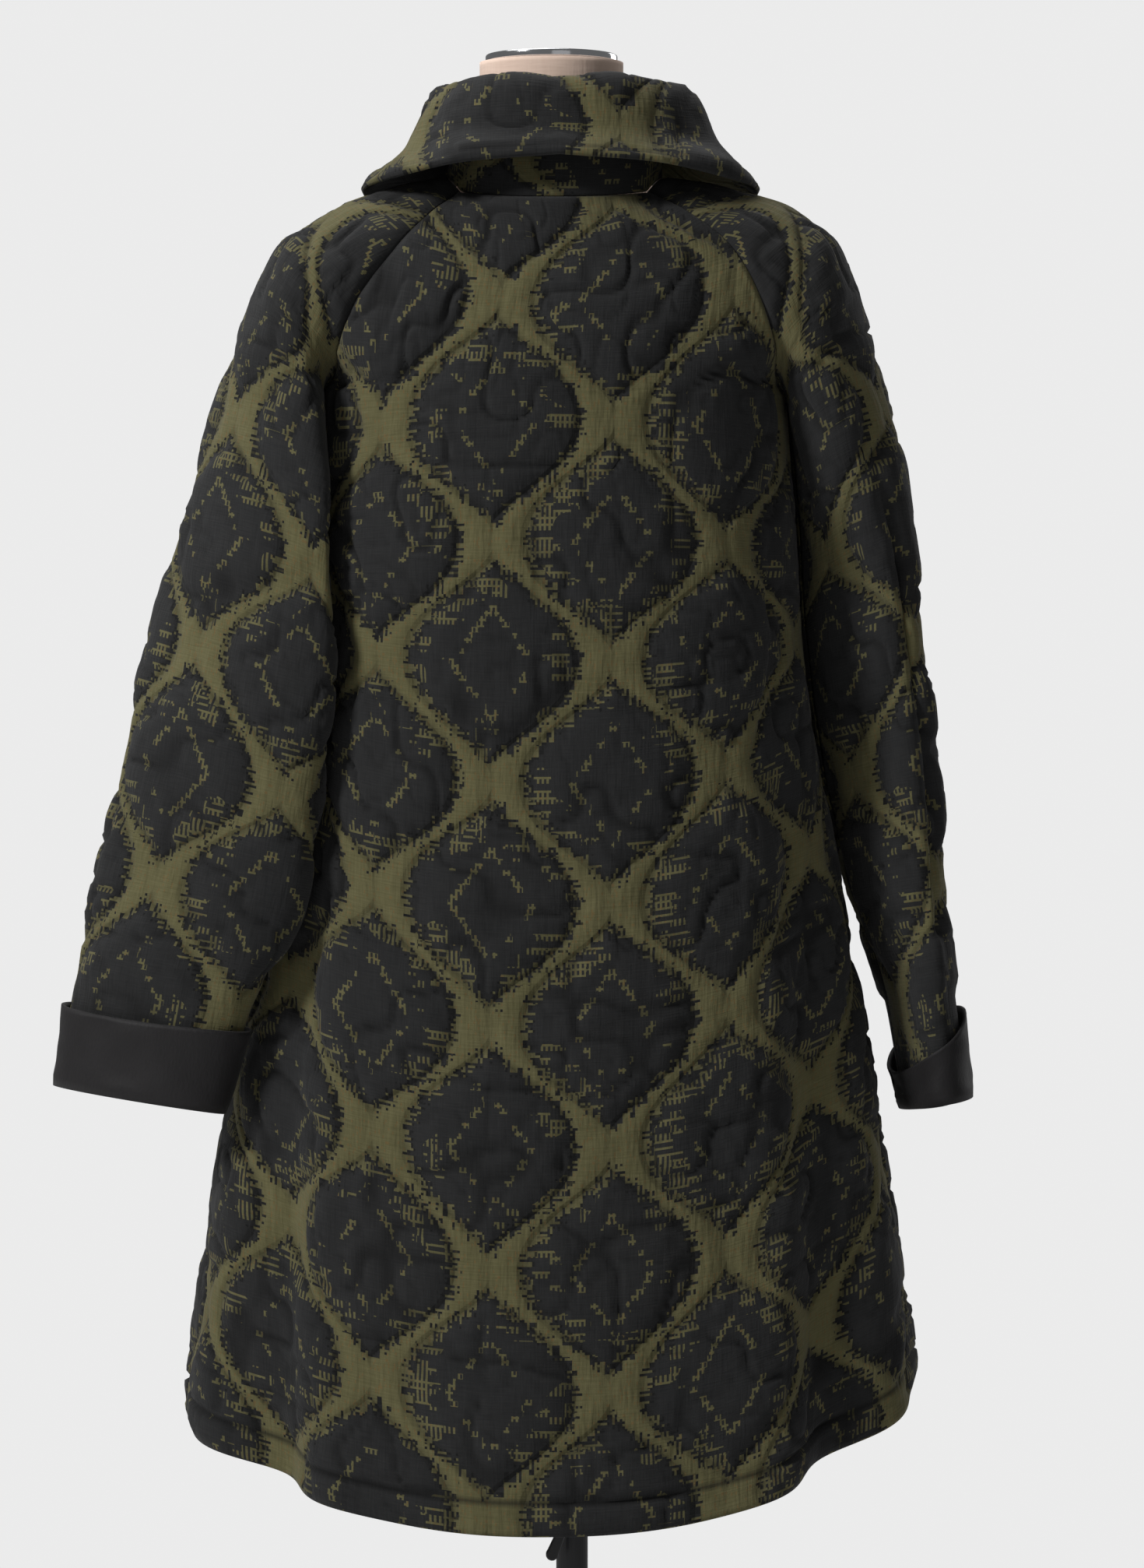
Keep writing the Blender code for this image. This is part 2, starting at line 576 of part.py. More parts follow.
def collar_profile(foot, roll, edge, count):
    """Rows of the collar's under side: up the stand, over the roll, down the fall."""
    outward = unit((edge - roll) * np.array([1.0, 1.0, 0.0]))
    up = np.array([0.0, 0.0, 1.0])
    knots = np.array([0.0, 0.22, 0.42, 0.50, 0.58, 0.78, 1.0])
    inside = roll - outward * ROLL_RADIUS - up * ROLL_RADIUS
    outside = roll + outward * ROLL_RADIUS - up * ROLL_RADIUS * 1.1
    controls = np.stack((
        foot, foot * 0.5 + inside * 0.5 - outward * 0.002, inside, roll, outside,
        outside * 0.5 + edge * 0.5 - outward * FALL_HOLLOW - up * 0.003, edge,
    ))
    at = np.linspace(0, 1, count)
    rows = np.empty((count,) + foot.shape)
    for column in range(foot.shape[0]):
        for c in range(3):
            rows[:, column, c] = smooth_curve(knots, controls[:, column, c], at)
    return rows


def collar_grid(columns, rows):
    """Base grid of the collar: columns run round the neck from the left front to the right front."""
    foot = neck_ring(columns)
    foot = foot + np.array([0.0, 0.0, NECK_SEAM_GAP])
    share = np.linspace(-1, 1, columns)
    angle = np.abs(share) * COLLAR_END
    sign = np.sign(share)
    shift = COAT_X + COLLAR_SHIFT
    roll, edge = (
        point(shift + sign * COLLAR.read(line + "_x", angle), COLLAR.read(line + "_y", angle),
              COLLAR.read(line + "_z", angle)) for line in ("roll", "edge")
    )
    return collar_profile(foot, roll, edge, rows)


def cuff_profile():
    """Rows of the turned-back cuff, inside and outside: offset from the sleeve's base, and height over its end
    as a share of the cuff's height, or in metres where it is under the end."""
    rows = [((-WALL, -FIT_GAP), (-WALL, -FIT_GAP - CUFF_WALL))]
    rows.append(((CUFF_CLEAR * 0.6, -FIT_GAP), (CUFF_CLEAR + CUFF_WALL * 0.6, -FIT_GAP - CUFF_WALL * 0.8)))
    for share in np.linspace(0, 1, CUFF_ROWS):
        height = CUFF_START / CUFF_TALLEST * (1 - share) + share
        off = CUFF_CLEAR + CUFF_FLARE * share ** 2
        rows.append(((off, height), (off + CUFF_WALL, height)))
    return rows


def cuff_grids(side, sleeve):
    """Outer and inner grids of a turned-back cuff round the end of a sleeve's grid."""
    places = sleeve["places"][::-1]
    normals = sleeve["normals"][::-1]
    runs = np.linalg.norm(np.diff(places, axis=0), axis=-1)
    length = np.concatenate((np.zeros((1, places.shape[1])), np.cumsum(runs, axis=0)))
    onward = unit(places[0] - places[1])
    around = np.linspace(-1, 1, places.shape[1])
    shape = CUFFS[side]
    tallest = shape["height"] + shape["swing"] * np.cos(np.pi * (around - shape["at"]))
    grids = ([], [])
    for row in cuff_profile():
        for grid, (off, share) in zip(grids, row):
            line = np.empty(places.shape[1:])
            for i in range(places.shape[1]):
                height = share * tallest[i] if share > 0 else share
                base = [np.interp(height, length[:, i], places[:, i, c]) for c in range(3)]
                normal = unit(np.array([np.interp(height, length[:, i], normals[:, i, c]) for c in range(3)]))
                line[i] = np.array(base) + normal * off + onward[i] * max(-height, 0.0)
            grid.append(line)
    inner, outer = (inset_sides(np.array(grid), SEAM_GAP / 2) for grid in grids)
    return outer, inner


def inset_sides(grid, gap):
    """Move a grid's first and last column in by the gap, along its rows."""
    grid = grid.copy()
    grid[:, 0] += unit(grid[:, 1] - grid[:, 0]) * gap
    grid[:, -1] += unit(grid[:, -2] - grid[:, -1]) * gap
    return grid


# ---------------------------------------------------------------- objects


def material(name, colour, roughness, metallic=0.0):
    made = bpy.data.materials.new(name)
    made.use_nodes = True
    shader = made.node_tree.nodes["Principled BSDF"]
    shader.inputs["Base Color"].default_value = (*colour, 1.0)
    shader.inputs["Roughness"].default_value = roughness
    shader.inputs["Metallic"].default_value = metallic
    made.diffuse_color = (*colour, 1.0)
    return made


def add_object(name, mesh, collection, look):
    made = bpy.data.objects.new(name, mesh)
    made.data.materials.clear()
    made.data.materials.append(look)
    collection.objects.link(made)
    return made


def build_coat(collection, looks):
    panels = coat_panels()
    body_down = steps(YOKE_ROWS, BODY_ROWS)
    arm_down = steps(YOKE_ROWS, ARM_ROWS)
    shares = {
        "back": np.linspace(-1, 1, BACK_COLUMNS + 1),
        "front_left": np.linspace(-1, 0, FRONT_COLUMNS + 1),
        "front_right": np.concatenate((np.zeros(LAP_COLUMNS), np.linspace(0, 1, FRONT_COLUMNS + 1))),
    }
    for name, panel in panels.items():
        places = panel["places"]
        panel["across"], panel["along"] = grain(places, panel["zero"])
        panel["relief"] = puff(panel["across"], panel["along"]) * smooth_step(edge_distance(places) / EDGE_FADE)
        down = arm_down if name.startswith("sleeve") else body_down
        panel["down"] = np.broadcast_to(down[:, None], places.shape[:2])
        if name.startswith("sleeve"):
            panel["around"] = np.broadcast_to(np.linspace(-1, 1, SLEEVE_COLUMNS + 1)[None, :], places.shape[:2])
        else:
            panel["share"] = np.broadcast_to(shares[name][None, :], places.shape[:2])
        panel["relief"] = panel["relief"] * relief_mask(name, panel)
        if name == "front_left":
            sink_under_lap(panel)
        edged = inset(panel["places"], panel["normals"], SEAM_GAP / 2)
        outer = edged + panel["normals"] * (PUFF * panel["relief"])[..., None]
        inner = edged - panel["normals"] * WALL
        first_cut = 0 if name.startswith("sleeve") else 1
        mesh = wall_mesh(name, outer, inner, flip=panel["out"] < 0, first_cut=first_cut)
        add_object(name, mesh, collection, looks["cloth"])
    return panels


def build_collar(collection, looks):
    places = collar_grid(COLLAR_COLUMNS + 1, COLLAR_ROWS + 1)
    normals = unit(grid_normals(places))
    across, along = grain(places, COLLAR_COLUMNS // 2)
    relief = puff(across, along + CELL_HEIGHT / 4) * smooth_step(edge_distance(places) / EDGE_FADE)
    relief = relief * smooth_step((np.arange(COLLAR_ROWS + 1)[:, None] / COLLAR_ROWS - 0.5) / 0.15)
    outer = places + normals * (COLLAR_WALL + PUFF * COLLAR_PUFF * relief)[..., None]
    add_object("collar", wall_mesh("collar", outer, places), collection, looks["cloth"])


def build_cuffs(collection, looks, panels):
    for side in ("left", "right"):
        sleeve = panels["sleeve_" + side]
        outer, inner = cuff_grids(side, sleeve)
        name = "cuff_" + side
        add_object(name, wall_mesh(name, outer, inner, flip=sleeve["out"] > 0), collection, looks["lining"])


def build_form(collection, looks):
    rings = np.arange(len(FORM.stations))
    angle = np.linspace(0, 2 * math.pi, FORM_SEGMENTS, endpoint=False)
    sine, cosine = np.sin(angle), np.cos(angle)
    column = FORM.columns
    vertices = []
    for ring in rings:
        depth = np.where(cosine > 0, column["back"][ring], column["front"][ring])
        height = np.where(cosine > 0, column["z_back"][ring], column["z_front"][ring])
        z = column["z_side"][ring] + (height - column["z_side"][ring]) * cosine ** 2
        vertices += point(column["middle"][ring] + column["half"][ring] * sine, -depth * cosine, z).tolist()
    mesh = bpy.data.meshes.new("dress_form")
    number = np.arange(len(vertices)).reshape(len(rings), FORM_SEGMENTS)
    there = np.roll(number, -1, axis=1)
    sides = np.stack((number[:-1], number[1:], there[1:], there[:-1]), axis=-1).reshape(-1, 4)
    mesh.from_pydata(vertices, [], [number[0].tolist()] + sides.tolist() + [number[-1][::-1].tolist()])
    mesh.validate()
    add_object("dress_form", mesh, collection, looks["linen"])


def hard_object(made, name, collection, look):
    """Name a new primitive, move it to its collection and give it its material."""
    made.name = made.data.name = name
    for old in list(made.users_collection):
        old.objects.unlink(made)
    collection.objects.link(made)
    made.data.materials.append(look)
    return made


def cylinder(name, radius, start, end, collection, look, axis="Z", centre=(0.0, 0.0), segments=32):
    """A cylinder along Z or Y between two heights; centre is its x and y, or its x and z."""
    middle = (start + end) / 2
    upright = axis == "Z"
    bpy.ops.mesh.primitive_cylinder_add(
        vertices=segments, radius=radius, depth=end - start,
        location=(centre[0], centre[1], middle) if upright else (centre[0], middle, centre[1]),
        rotation=(0.0, 0.0, 0.0) if upright else (math.pi / 2, 0.0, 0.0),
    )
    return hard_object(bpy.context.object, name, collection, look)


def round_edges(made, width):
    rounding = made.modifiers.new("round", "BEVEL")
    rounding.width = width
    rounding.segments = 2
    rounding.limit_method = "ANGLE"


def combine(made, helper, operation):
    """Add or cut a helper, which stays hidden in its own collection."""
    helper.hide_render = True
    helper.display_type = "WIRE"
    step = made.modifiers.new(operation.lower(), "BOOLEAN")
    step.operation = operation
    step.object = helper
    step.solver = "EXACT"


def lever_outline():
    """The lever's outline from its axis, in x and z: a round hub, a narrow neck and a round paddle."""
    length = math.hypot(LEVER_TIP_OUT, LEVER_TIP_DOWN)
    right_side = [(LEVER_HUB_RADIUS * math.sin(a), -LEVER_HUB_RADIUS * math.cos(a))
                  for a in np.radians(np.linspace(180, 35, 10))]
    right_side += [(LEVER_NECK, -length * 0.45)]
    right_side += [(LEVER_TIP_RADIUS * math.sin(a), -length - LEVER_TIP_RADIUS * math.cos(a))
                   for a in np.radians(np.linspace(110, 0, 7))]
    left_side = [(-x, z) for x, z in reversed(right_side[1:-1])]
    turn = math.atan2(LEVER_TIP_OUT, LEVER_TIP_DOWN)
    return [(x * math.cos(turn) + z * math.sin(turn), z * math.cos(turn) - x * math.sin(turn))
            for x, z in right_side + left_side]


def build_clamp(collection, helpers, looks):
    black = looks["black_metal"]
    clamp = cylinder("clamp_collar", CLAMP_RADIUS, CLAMP_BOTTOM, CLAMP_TOP, collection, black)
    lever_back = BOSS_END - FIT_GAP - LEVER_THICKNESS
    head_front = lever_back - FIT_GAP
    at = (0.0, LEVER_Z)
    boss = cylinder("clamp_boss", BOSS_RADIUS, BOSS_END, 0.0, helpers, black, "Y", at)
    stud = cylinder("clamp_stud", STUD_RADIUS, head_front - STUD_HEAD / 2, 0.0, helpers, black, "Y", at, 20)
    head = cylinder("clamp_stud_head", STUD_HEAD_RADIUS, head_front - STUD_HEAD, head_front, helpers, black,
                    "Y", at, 24)
    for helper in (boss, stud, head):
        combine(clamp, helper, "UNION")

    mesh = bpy.data.meshes.new("clamp_lever")
    outline = lever_outline()
    mesh.from_pydata([(x, 0.0, z) for x, z in outline], [], [tuple(range(len(outline)))])
    lever = bpy.data.objects.new("clamp_lever", mesh)
    lever.location = (0.0, BOSS_END - FIT_GAP - LEVER_THICKNESS / 2, LEVER_Z)
    hard_object(lever, "clamp_lever", collection, black)
    plate = lever.modifiers.new("thickness", "SOLIDIFY")
    plate.thickness = LEVER_THICKNESS
    plate.offset = 0.0
    round_edges(lever, 0.0012)
    bore = cylinder("lever_bore", STUD_RADIUS + FIT_GAP, lever_back - BORE_SPARE, BOSS_END + BORE_SPARE,
                    helpers, black, "Y", at, 20)
    combine(lever, bore, "DIFFERENCE")


def build_stand(collection, helpers, looks):
    black = looks["black_metal"]
    base = cylinder("base", BASE_RADIUS, 0.0, BASE_THICKNESS, collection, black, segments=48)
    round_edges(base, 0.002)
    cylinder("pole_outer", POLE_OUTER_RADIUS, BASE_THICKNESS + FIT_GAP, CLAMP_BOTTOM - FIT_GAP, collection,
             black)
    cylinder("pole_inner", POLE_INNER_RADIUS, CLAMP_TOP + FIT_GAP, FORM_BOTTOM - FIT_GAP, collection,
             looks["steel"])
    build_clamp(collection, helpers, looks)
    cap = cylinder("neck_cap", CAP_RADIUS, NECK_TOP + FIT_GAP, CAP_TOP, collection, looks["chrome"],
                   centre=(COAT_X, CAP_Y), segments=48)
    round_edges(cap, 0.0015)


def main():
    for old in list(bpy.data.objects):
        bpy.data.objects.remove(old, do_unlink=True)
    collection = bpy.data.collections.new("long_coat_on_dress_form")
    bpy.context.scene.collection.children.link(collection)
    helpers = bpy.data.collections.new("cutters_and_helpers")
    bpy.context.scene.collection.children.link(helpers)
    looks = {
        "cloth": material("quilted_cloth", (0.045, 0.045, 0.040), 0.9),
        "lining": material("lining_cloth", (0.014, 0.012, 0.014), 0.7),
        "linen": material("linen", (0.64, 0.48, 0.40), 0.85),
        "chrome": material("chrome", (0.75, 0.76, 0.78), 0.12, 1.0),
        "steel": material("steel", (0.50, 0.51, 0.53), 0.3, 1.0),
        "black_metal": material("black_metal", (0.012, 0.012, 0.014), 0.4, 0.6),
    }
    panels = build_coat(collection, looks)
    build_collar(collection, looks)
    build_cuffs(collection, looks, panels)
    build_form(collection, looks)
    build_stand(collection, helpers, looks)


main()
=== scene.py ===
"""The looks of a quilted long coat on a limbless dress form.

Every cloth piece is a fine wall on the same base surface as its solid, cut from the same tables of sections.
Its outer side carries the quilting. Its map "cloth" holds the place on the flat cloth, which the material reads
for its woven bands. Sizes are in metres. The coat's back faces -Y.
"""
import math

import bmesh
import bpy
import numpy as np
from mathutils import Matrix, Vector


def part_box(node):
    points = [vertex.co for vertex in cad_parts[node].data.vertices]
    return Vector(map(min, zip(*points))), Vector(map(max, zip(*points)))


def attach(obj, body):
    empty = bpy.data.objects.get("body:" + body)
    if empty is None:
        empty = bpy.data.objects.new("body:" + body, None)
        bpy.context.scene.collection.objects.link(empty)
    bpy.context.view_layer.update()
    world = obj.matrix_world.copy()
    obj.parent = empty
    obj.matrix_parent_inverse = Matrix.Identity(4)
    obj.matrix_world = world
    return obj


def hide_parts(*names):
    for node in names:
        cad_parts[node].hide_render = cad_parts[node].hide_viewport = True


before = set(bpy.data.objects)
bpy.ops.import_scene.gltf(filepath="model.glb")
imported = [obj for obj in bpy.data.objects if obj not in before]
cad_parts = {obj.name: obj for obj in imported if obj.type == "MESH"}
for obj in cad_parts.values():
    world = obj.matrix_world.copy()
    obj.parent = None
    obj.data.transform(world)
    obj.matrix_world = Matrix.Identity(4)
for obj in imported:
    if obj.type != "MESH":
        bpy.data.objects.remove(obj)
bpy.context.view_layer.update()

BODY = "coat_form_and_stand"

# ------------------------ dimensions shared with the solids

WALL = 0.003  # cloth between two quilting lines
COLLAR_WALL = 0.0035  # two layers and an interlining
CUFF_WALL = 0.0028
SEAM_GAP = 0.0003  # between two pieces that are sewn together
NECK_SEAM_GAP = 0.0008  # between the neck edge and the collar's foot
FIT_GAP = 0.0003  # between two pieces that lie on each other
COAT_X = -0.016  # middle plane of the coat

LAP_WIDTH = 0.03  # the right front lies over the left one by this much
LAP_CLEAR = 0.012  # the left front lies fully sunk this far beyond the lap's edge
LAP_EASE = 0.018  # and rises over this width
LAP_GAP = 0.0009

CELL_WIDTH = 0.184  # one ogee of the quilting, across the cloth
CELL_HEIGHT = 0.185  # and down the cloth
LINE_SWING = 0.036  # how far each wavy line of the lattice swings to a side

# ------------------------ finish of the cloth

YOKE_ROWS = 52  # grid rows from the neck to the underarm
BODY_ROWS = 206  # grid rows from the underarm to the hem
ARM_ROWS = 130  # grid rows from the underarm to the sleeve's end
BACK_COLUMNS = 190
FRONT_COLUMNS = 94
LAP_COLUMNS = 8
SLEEVE_COLUMNS = 96
COLLAR_COLUMNS = 210
COLLAR_ROWS = 48
CUFF_ROWS = 16
FORM_ROWS = 150
FORM_COLUMNS = 96
CAP_COLUMNS = 160
NECK_POINTS = 61  # on each of the five stretches of the neck seam
SAME_PLACE = 2e-5  # points on a seam are one place when they are this close

LEAST_WALL = 0.0014  # what the cloth keeps under its deepest troughs
SUNK_LINE = 0.0024  # the quilting lines lie this far under the base surface
BAND_NARROW = 0.0085  # half width of the woven band between two nodes of the lattice
BAND_BROAD = 0.016  # and at a node
BAND_RISE = 0.0024  # the woven band stands a little over its two quilting lines
PUFF = 0.0068  # height of a quilted puff over its quilting line
PUFF_STEEP = 0.55  # share of that height that it gains right at the line
PUFF_EDGE = 0.0045  # within about this width
PUFF_REACH = 0.03  # and it is at its full height this far in
COLLAR_PUFF = 0.7  # share of the puffs' height on the collar
TUCK = 0.0034  # depth of the tucks that the quilting draws into a puff
TUCK_FADE = 0.006  # they start over this width beside the line
TUCK_SHADE = 0.55  # strength of the painted shade in a tuck
SHADE_FADE = 0.004  # the painted shade starts over a smaller width
DIMPLE = 0.0014  # depth of the small dimples between the tucks
DIMPLE_SHADE = 0.5  # strength of a dimple's painted shade, as a share of a tuck's
TUCK_HALF = 0.05  # half width of a tuck, as a difference in its noise
DIMPLE_HALF = 0.055

# Noises on the flat cloth: size of a patch, seed, and height from the lowest place to the highest.
LINE_NOISE = (0.013, 3, 0.006)
BAND_NOISE = (0.009, 23, 0.5)
TUCK_NOISE = (0.034, 11, 1.0)
DIMPLE_NOISE = (0.019, 29, 1.0)
RIPPLE_NOISE = (0.011, 17, 0.001)
COLLAR_NOISE = (0.034, 57, 0.005)
CUFF_NOISES = ((0.03, 41, 0.0034), (0.012, 43, 0.001))
CUFF_WRINKLE = (-0.001, 0.0024)  # the wrinkles' least and greatest height
CUFF_TURN_ROWS = 2  # grid rows at a cuff's turn that stay plain
CUFF_TOP_WRINKLE = 0.35  # share of the way to full wrinkles at its top edge

# Lines along an edge: distance from the edge, half width, and height of a roll or depth of a stitched line.
SEAM_FADE = 0.01  # the puffs die away over this width along a seam
SEAM_ROLL = (0.0045, 0.0028, 0.001)
COLLAR_ROLL = (0.0035, 0.0025, 0.001)
HEM_STITCH = (0.025, 0.0022, 0.0016)
COLLAR_STITCH = (0.007, 0.0016, 0.0014)
HEM_PRESS = 0.9  # share of the puffs that the hem's stitched line presses flat
HEM_SHADE = 1.3  # strength of its painted shade, as a share of a tuck's

ARMPIT_SPAN = (0.8, 1.0, 1.35, 1.6)  # the quilting fades and comes back between these stations
ARMPIT_WIDTH = 0.045  # beside the armpit's seams, over this width
ARMPIT_FILL = 0.003  # how far the body's cloth bulges there
CUFF_PLAIN = 0.074  # length of a sleeve's plain end, under its cuff
CUFF_FADE = 0.02  # the puffs come back over this length
SHOULDER_PUFF = 0.45  # share of the puffs' height on a shoulder
SHOULDER_SPAN = (0.35, 0.65)  # it grows to its full height between these stations

CAP_RIM = 0.0016  # radius of the neck cap's rounded rims
CAP_DISH = ((0.93, 0.0004), (0.9, 0.0012), (0.0, 0.0012))  # its sunk top: shares of its radius, depths

# The weave, on the flat cloth. Pairs are across and down.
TOOTH = 0.0019  # width of one woven step of a band's ragged edge
TOOTH_RUN = (0.017, 0.014)  # how far one tooth runs on
TOOTH_REACH = (0.011, 0.012)  # how far the teeth stand out in all
DIAMOND = (0.034, 0.047)  # half sizes of a stepped diamond
DIAMOND_STEP = 0.0042  # its steps down
DIAMOND_INSIDE = 0.84  # where its ring ends, as a share of its size
RUNG_PITCH = TOOTH * 1.9  # from one upright dash to the next
DASH_PITCH = 0.0052  # from one level dash to the next
LADDER_RUN = 0.0114  # width of one ladder of upright dashes
DASH_RUN = 0.0133  # length of one level dash
FLECK_REACH = 0.024  # ladders and dashes end this far from a band
RUST_THREAD = (0.0011, 0.0021)
LINE_SHADE = (0.0012, 0.0013)  # painted shade in the stitched groove outside each band's edge: its place and half width
SUNK_SHADE = (0.001, 0.011)  # and the soft painted shade of the sunk quilting line round it

CHARCOAL = (0.0148, 0.0152, 0.0158), (0.0248, 0.025, 0.0252)
OLIVE = (0.09, 0.084, 0.036), (0.142, 0.13, 0.062)
RUST = (0.15, 0.095, 0.036)
# Colours of painted shade: in the tucks, beside the sunk quilting lines, and in the grooves along the bands.
PAINTED_TUCK_BLACK = (0.005, 0.005, 0.005)
PAINTED_VALLEY_BLACK = (0.006, 0.006, 0.005)
PAINTED_GROOVE_BLACK = (0.006, 0.006, 0.006)
LINING = (0.0034, 0.0027, 0.0032), (0.0072, 0.0059, 0.0067)
LINEN = (0.72, 0.52, 0.42), (0.98, 0.78, 0.65)

# Hard finishes: material's name, dark and light colour, roughness, scale of the grain, metallic value.
METALS = {
    "chrome": ("chrome_fine", (0.62, 0.63, 0.65), (0.8, 0.81, 0.83), 0.06, 300.0, 1.0),
    "steel": ("steel_fine", (0.42, 0.43, 0.45), (0.58, 0.59, 0.61), 0.25, 400.0, 1.0),
    "black": ("black_coating", (0.006, 0.006, 0.007), (0.012, 0.012, 0.013), 0.38, 900.0, 0.0),
}


# ------------------------ tables of sections


def smooth_curve(knots, values, at):
    """Cubic curve through the values at the knots, with no overshoot between two knots."""
    at = np.clip(np.asarray(at, dtype=float), knots[0], knots[-1])
    steps = np.diff(knots)
    slopes = np.diff(values) / steps
    product = slopes[:-1] * slopes[1:]
    total = slopes[:-1] + slopes[1:]
    inner = np.where(product > 0, 2 * product / np.where(total == 0, 1, total), 0.0)
    tangents = np.concatenate(([slopes[0]], inner, [slopes[-1]]))
    i = np.clip(np.searchsorted(knots, at) - 1, 0, len(steps) - 1)
    t = (at - knots[i]) / steps[i]
    rise = values[i + 1] - values[i]
    start = tangents[i] * steps[i]
    end = tangents[i + 1] * steps[i]
    return values[i] + t * start + t ** 2 * (3 * rise - 2 * start - end) + t ** 3 * (start + end - 2 * rise)


class Table:
    """Rows with named columns; the first column holds the stations that the others are read at."""

    def __init__(self, names, rows):
        self.names = names.split()
        self.columns = dict(zip(self.names, np.array(rows, dtype=float).T))
        self.stations = self.columns[self.names[0]]

    def read(self, name, at):
        return smooth_curve(self.stations, self.columns[name], at)


# "down" is 0 at the neck, 1 at the underarm and 2 at the hem or the sleeve's end. "out" is the distance from
# the coat's middle plane. A sleeve's section is an ellipse through its ridge (top of the shoulder, outside of
# the arm). It is open between its two raglan seams by "spread" on each side of the ridge, and closed from 180
# on. "wrap" bends its front and back towards the body.
YOKE_LINES = "seam_out seam_y seam_z ridge_out ridge_y ridge_z breadth_out breadth_y breadth_z"
YOKE = Table("down " + YOKE_LINES + " spread wrap", (
    (0.0, 0.069, 0.005, 1.424, 0.084, 0.002, 1.444, -0.003, 0.048, -0.009, 70, 0.0),
    (0.25, 0.097, 0.002, 1.404, 0.128, 0.001, 1.4365, -0.004, 0.072, -0.01, 78, 0.0),
    (0.5, 0.127, 0.001, 1.374, 0.177, 0.0, 1.422, -0.004, 0.087, -0.01, 88, 0.0),
    (0.72, 0.153, -0.001, 1.335, 0.21, -0.002, 1.397, -0.003, 0.089, -0.01, 103, 0.0),
    (0.88, 0.169, -0.003, 1.302, 0.228, -0.004, 1.364, -0.001, 0.087, -0.008, 128, 0.002),
    (1.0, 0.177, -0.003, 1.278, 0.24, -0.006, 1.334, 0.0, 0.084, -0.004, 180, 0.014),
))

# An arm's section: its centre, the tilt of its plane (outer side up), its long and flat half sizes, the turn
# of its long side from straight ahead to the outside, and the roll of the cloth round it.
ARM_NAMES = "down out y z tilt long flat turn roll wrap"
ARMS = {
    "left": Table(ARM_NAMES, (
        (1.18, 0.231, -0.028, 1.205, 26, 0.085, 0.041, 24, 20, 0.03),
        (1.34, 0.236, -0.052, 1.115, 19, 0.088, 0.039, 46, 36, 0.012),
        (1.55, 0.249, -0.072, 1.0, 15, 0.089, 0.036, 60, 46, 0.0),
        (1.73, 0.268, -0.076, 0.9, 12, 0.087, 0.035, 66, 50, 0.0),
        (1.87, 0.298, -0.07, 0.813, 9, 0.075, 0.033, 66, 50, 0.0),
        (2.0, 0.316, -0.062, 0.735, 8, 0.072, 0.032, 62, 46, 0.0),
    )),
    "right": Table(ARM_NAMES, (
        (1.18, 0.23, 0.002, 1.205, 26, 0.084, 0.041, -18, -11, 0.018),
        (1.34, 0.238, 0.012, 1.115, 19, 0.082, 0.037, -26, -17, 0.004),
        (1.55, 0.252, 0.014, 1.0, 14, 0.081, 0.034, -27, -18, 0.002),
        (1.73, 0.268, 0.009, 0.905, 11, 0.078, 0.03, -19, -13, 0.0),
        (1.87, 0.287, 0.001, 0.815, 12, 0.076, 0.024, -8, -7, 0.0),
        (2.0, 0.3, -0.004, 0.73, 12, 0.071, 0.024, -5, -4, 0.0),
    )),
}

# The side line of the body, below the underarm.
SIDE = Table("down out y z", (
    (1.0, 0.177, -0.003, 1.278),
    (1.09, 0.183, -0.003, 1.207),
    (1.23, 0.191, -0.002, 1.097),
    (1.33, 0.199, -0.001, 1.018),
    (1.43, 0.214, 0.0, 0.939),
    (1.52, 0.226, 0.0, 0.868),
    (1.67, 0.246, 0.0, 0.75),
    (1.8, 0.262, 0.0, 0.648),
    (1.92, 0.276, 0.0, 0.553),
    (2.0, 0.284, 0.0, 0.49),
))

# The middle lines of the back and of the front. "arc" spreads the columns over a row; "power" and "close"
# give its section: 2 and 1 a flat parabola, 2 and 2 an ellipse, more a squarer one.
MIDDLE = Table("down back_y back_z front_y front_z arc power close", (
    (0.0, -0.078, 1.426, 0.086, 1.386, 58, 2.0, 1.25),
    (0.25, -0.098, 1.397, 0.104, 1.352, 50, 2.0, 1.15),
    (0.5, -0.112, 1.365, 0.121, 1.318, 50, 2.0, 1.15),
    (0.72, -0.121, 1.33, 0.133, 1.292, 56, 2.1, 1.25),
    (0.88, -0.126, 1.299, 0.14, 1.273, 68, 2.3, 1.6),
    (1.0, -0.128, 1.273, 0.144, 1.259, 86, 2.5, 2.45),
    (1.33, -0.137, 0.985, 0.152, 0.978, 88, 2.4, 2.4),
    (1.67, -0.164, 0.694, 0.175, 0.692, 88, 2.2, 2.2),
    (2.0, -0.203, 0.412, 0.208, 0.418, 88, 2.1, 2.1),
))
SIDE_RISE_POWER = 2.4  # how late a row rises from its middle to its side
RIGHT_HEM_LIFT = 0.026  # the hem hangs this much higher at the wearer's right side
RIGHT_LIFT_POWER = 4  # only close to the side seam

# The coat's middle plane, which leans a little between the shoulders and the hem.
LEAN = Table("down x", (
    (0.0, -0.014),
    (0.25, -0.009),
    (0.5, -0.006),
    (0.72, -0.01),
    (1.0, -0.013),
    (1.4, -0.016),
    (2.0, -0.017),
))

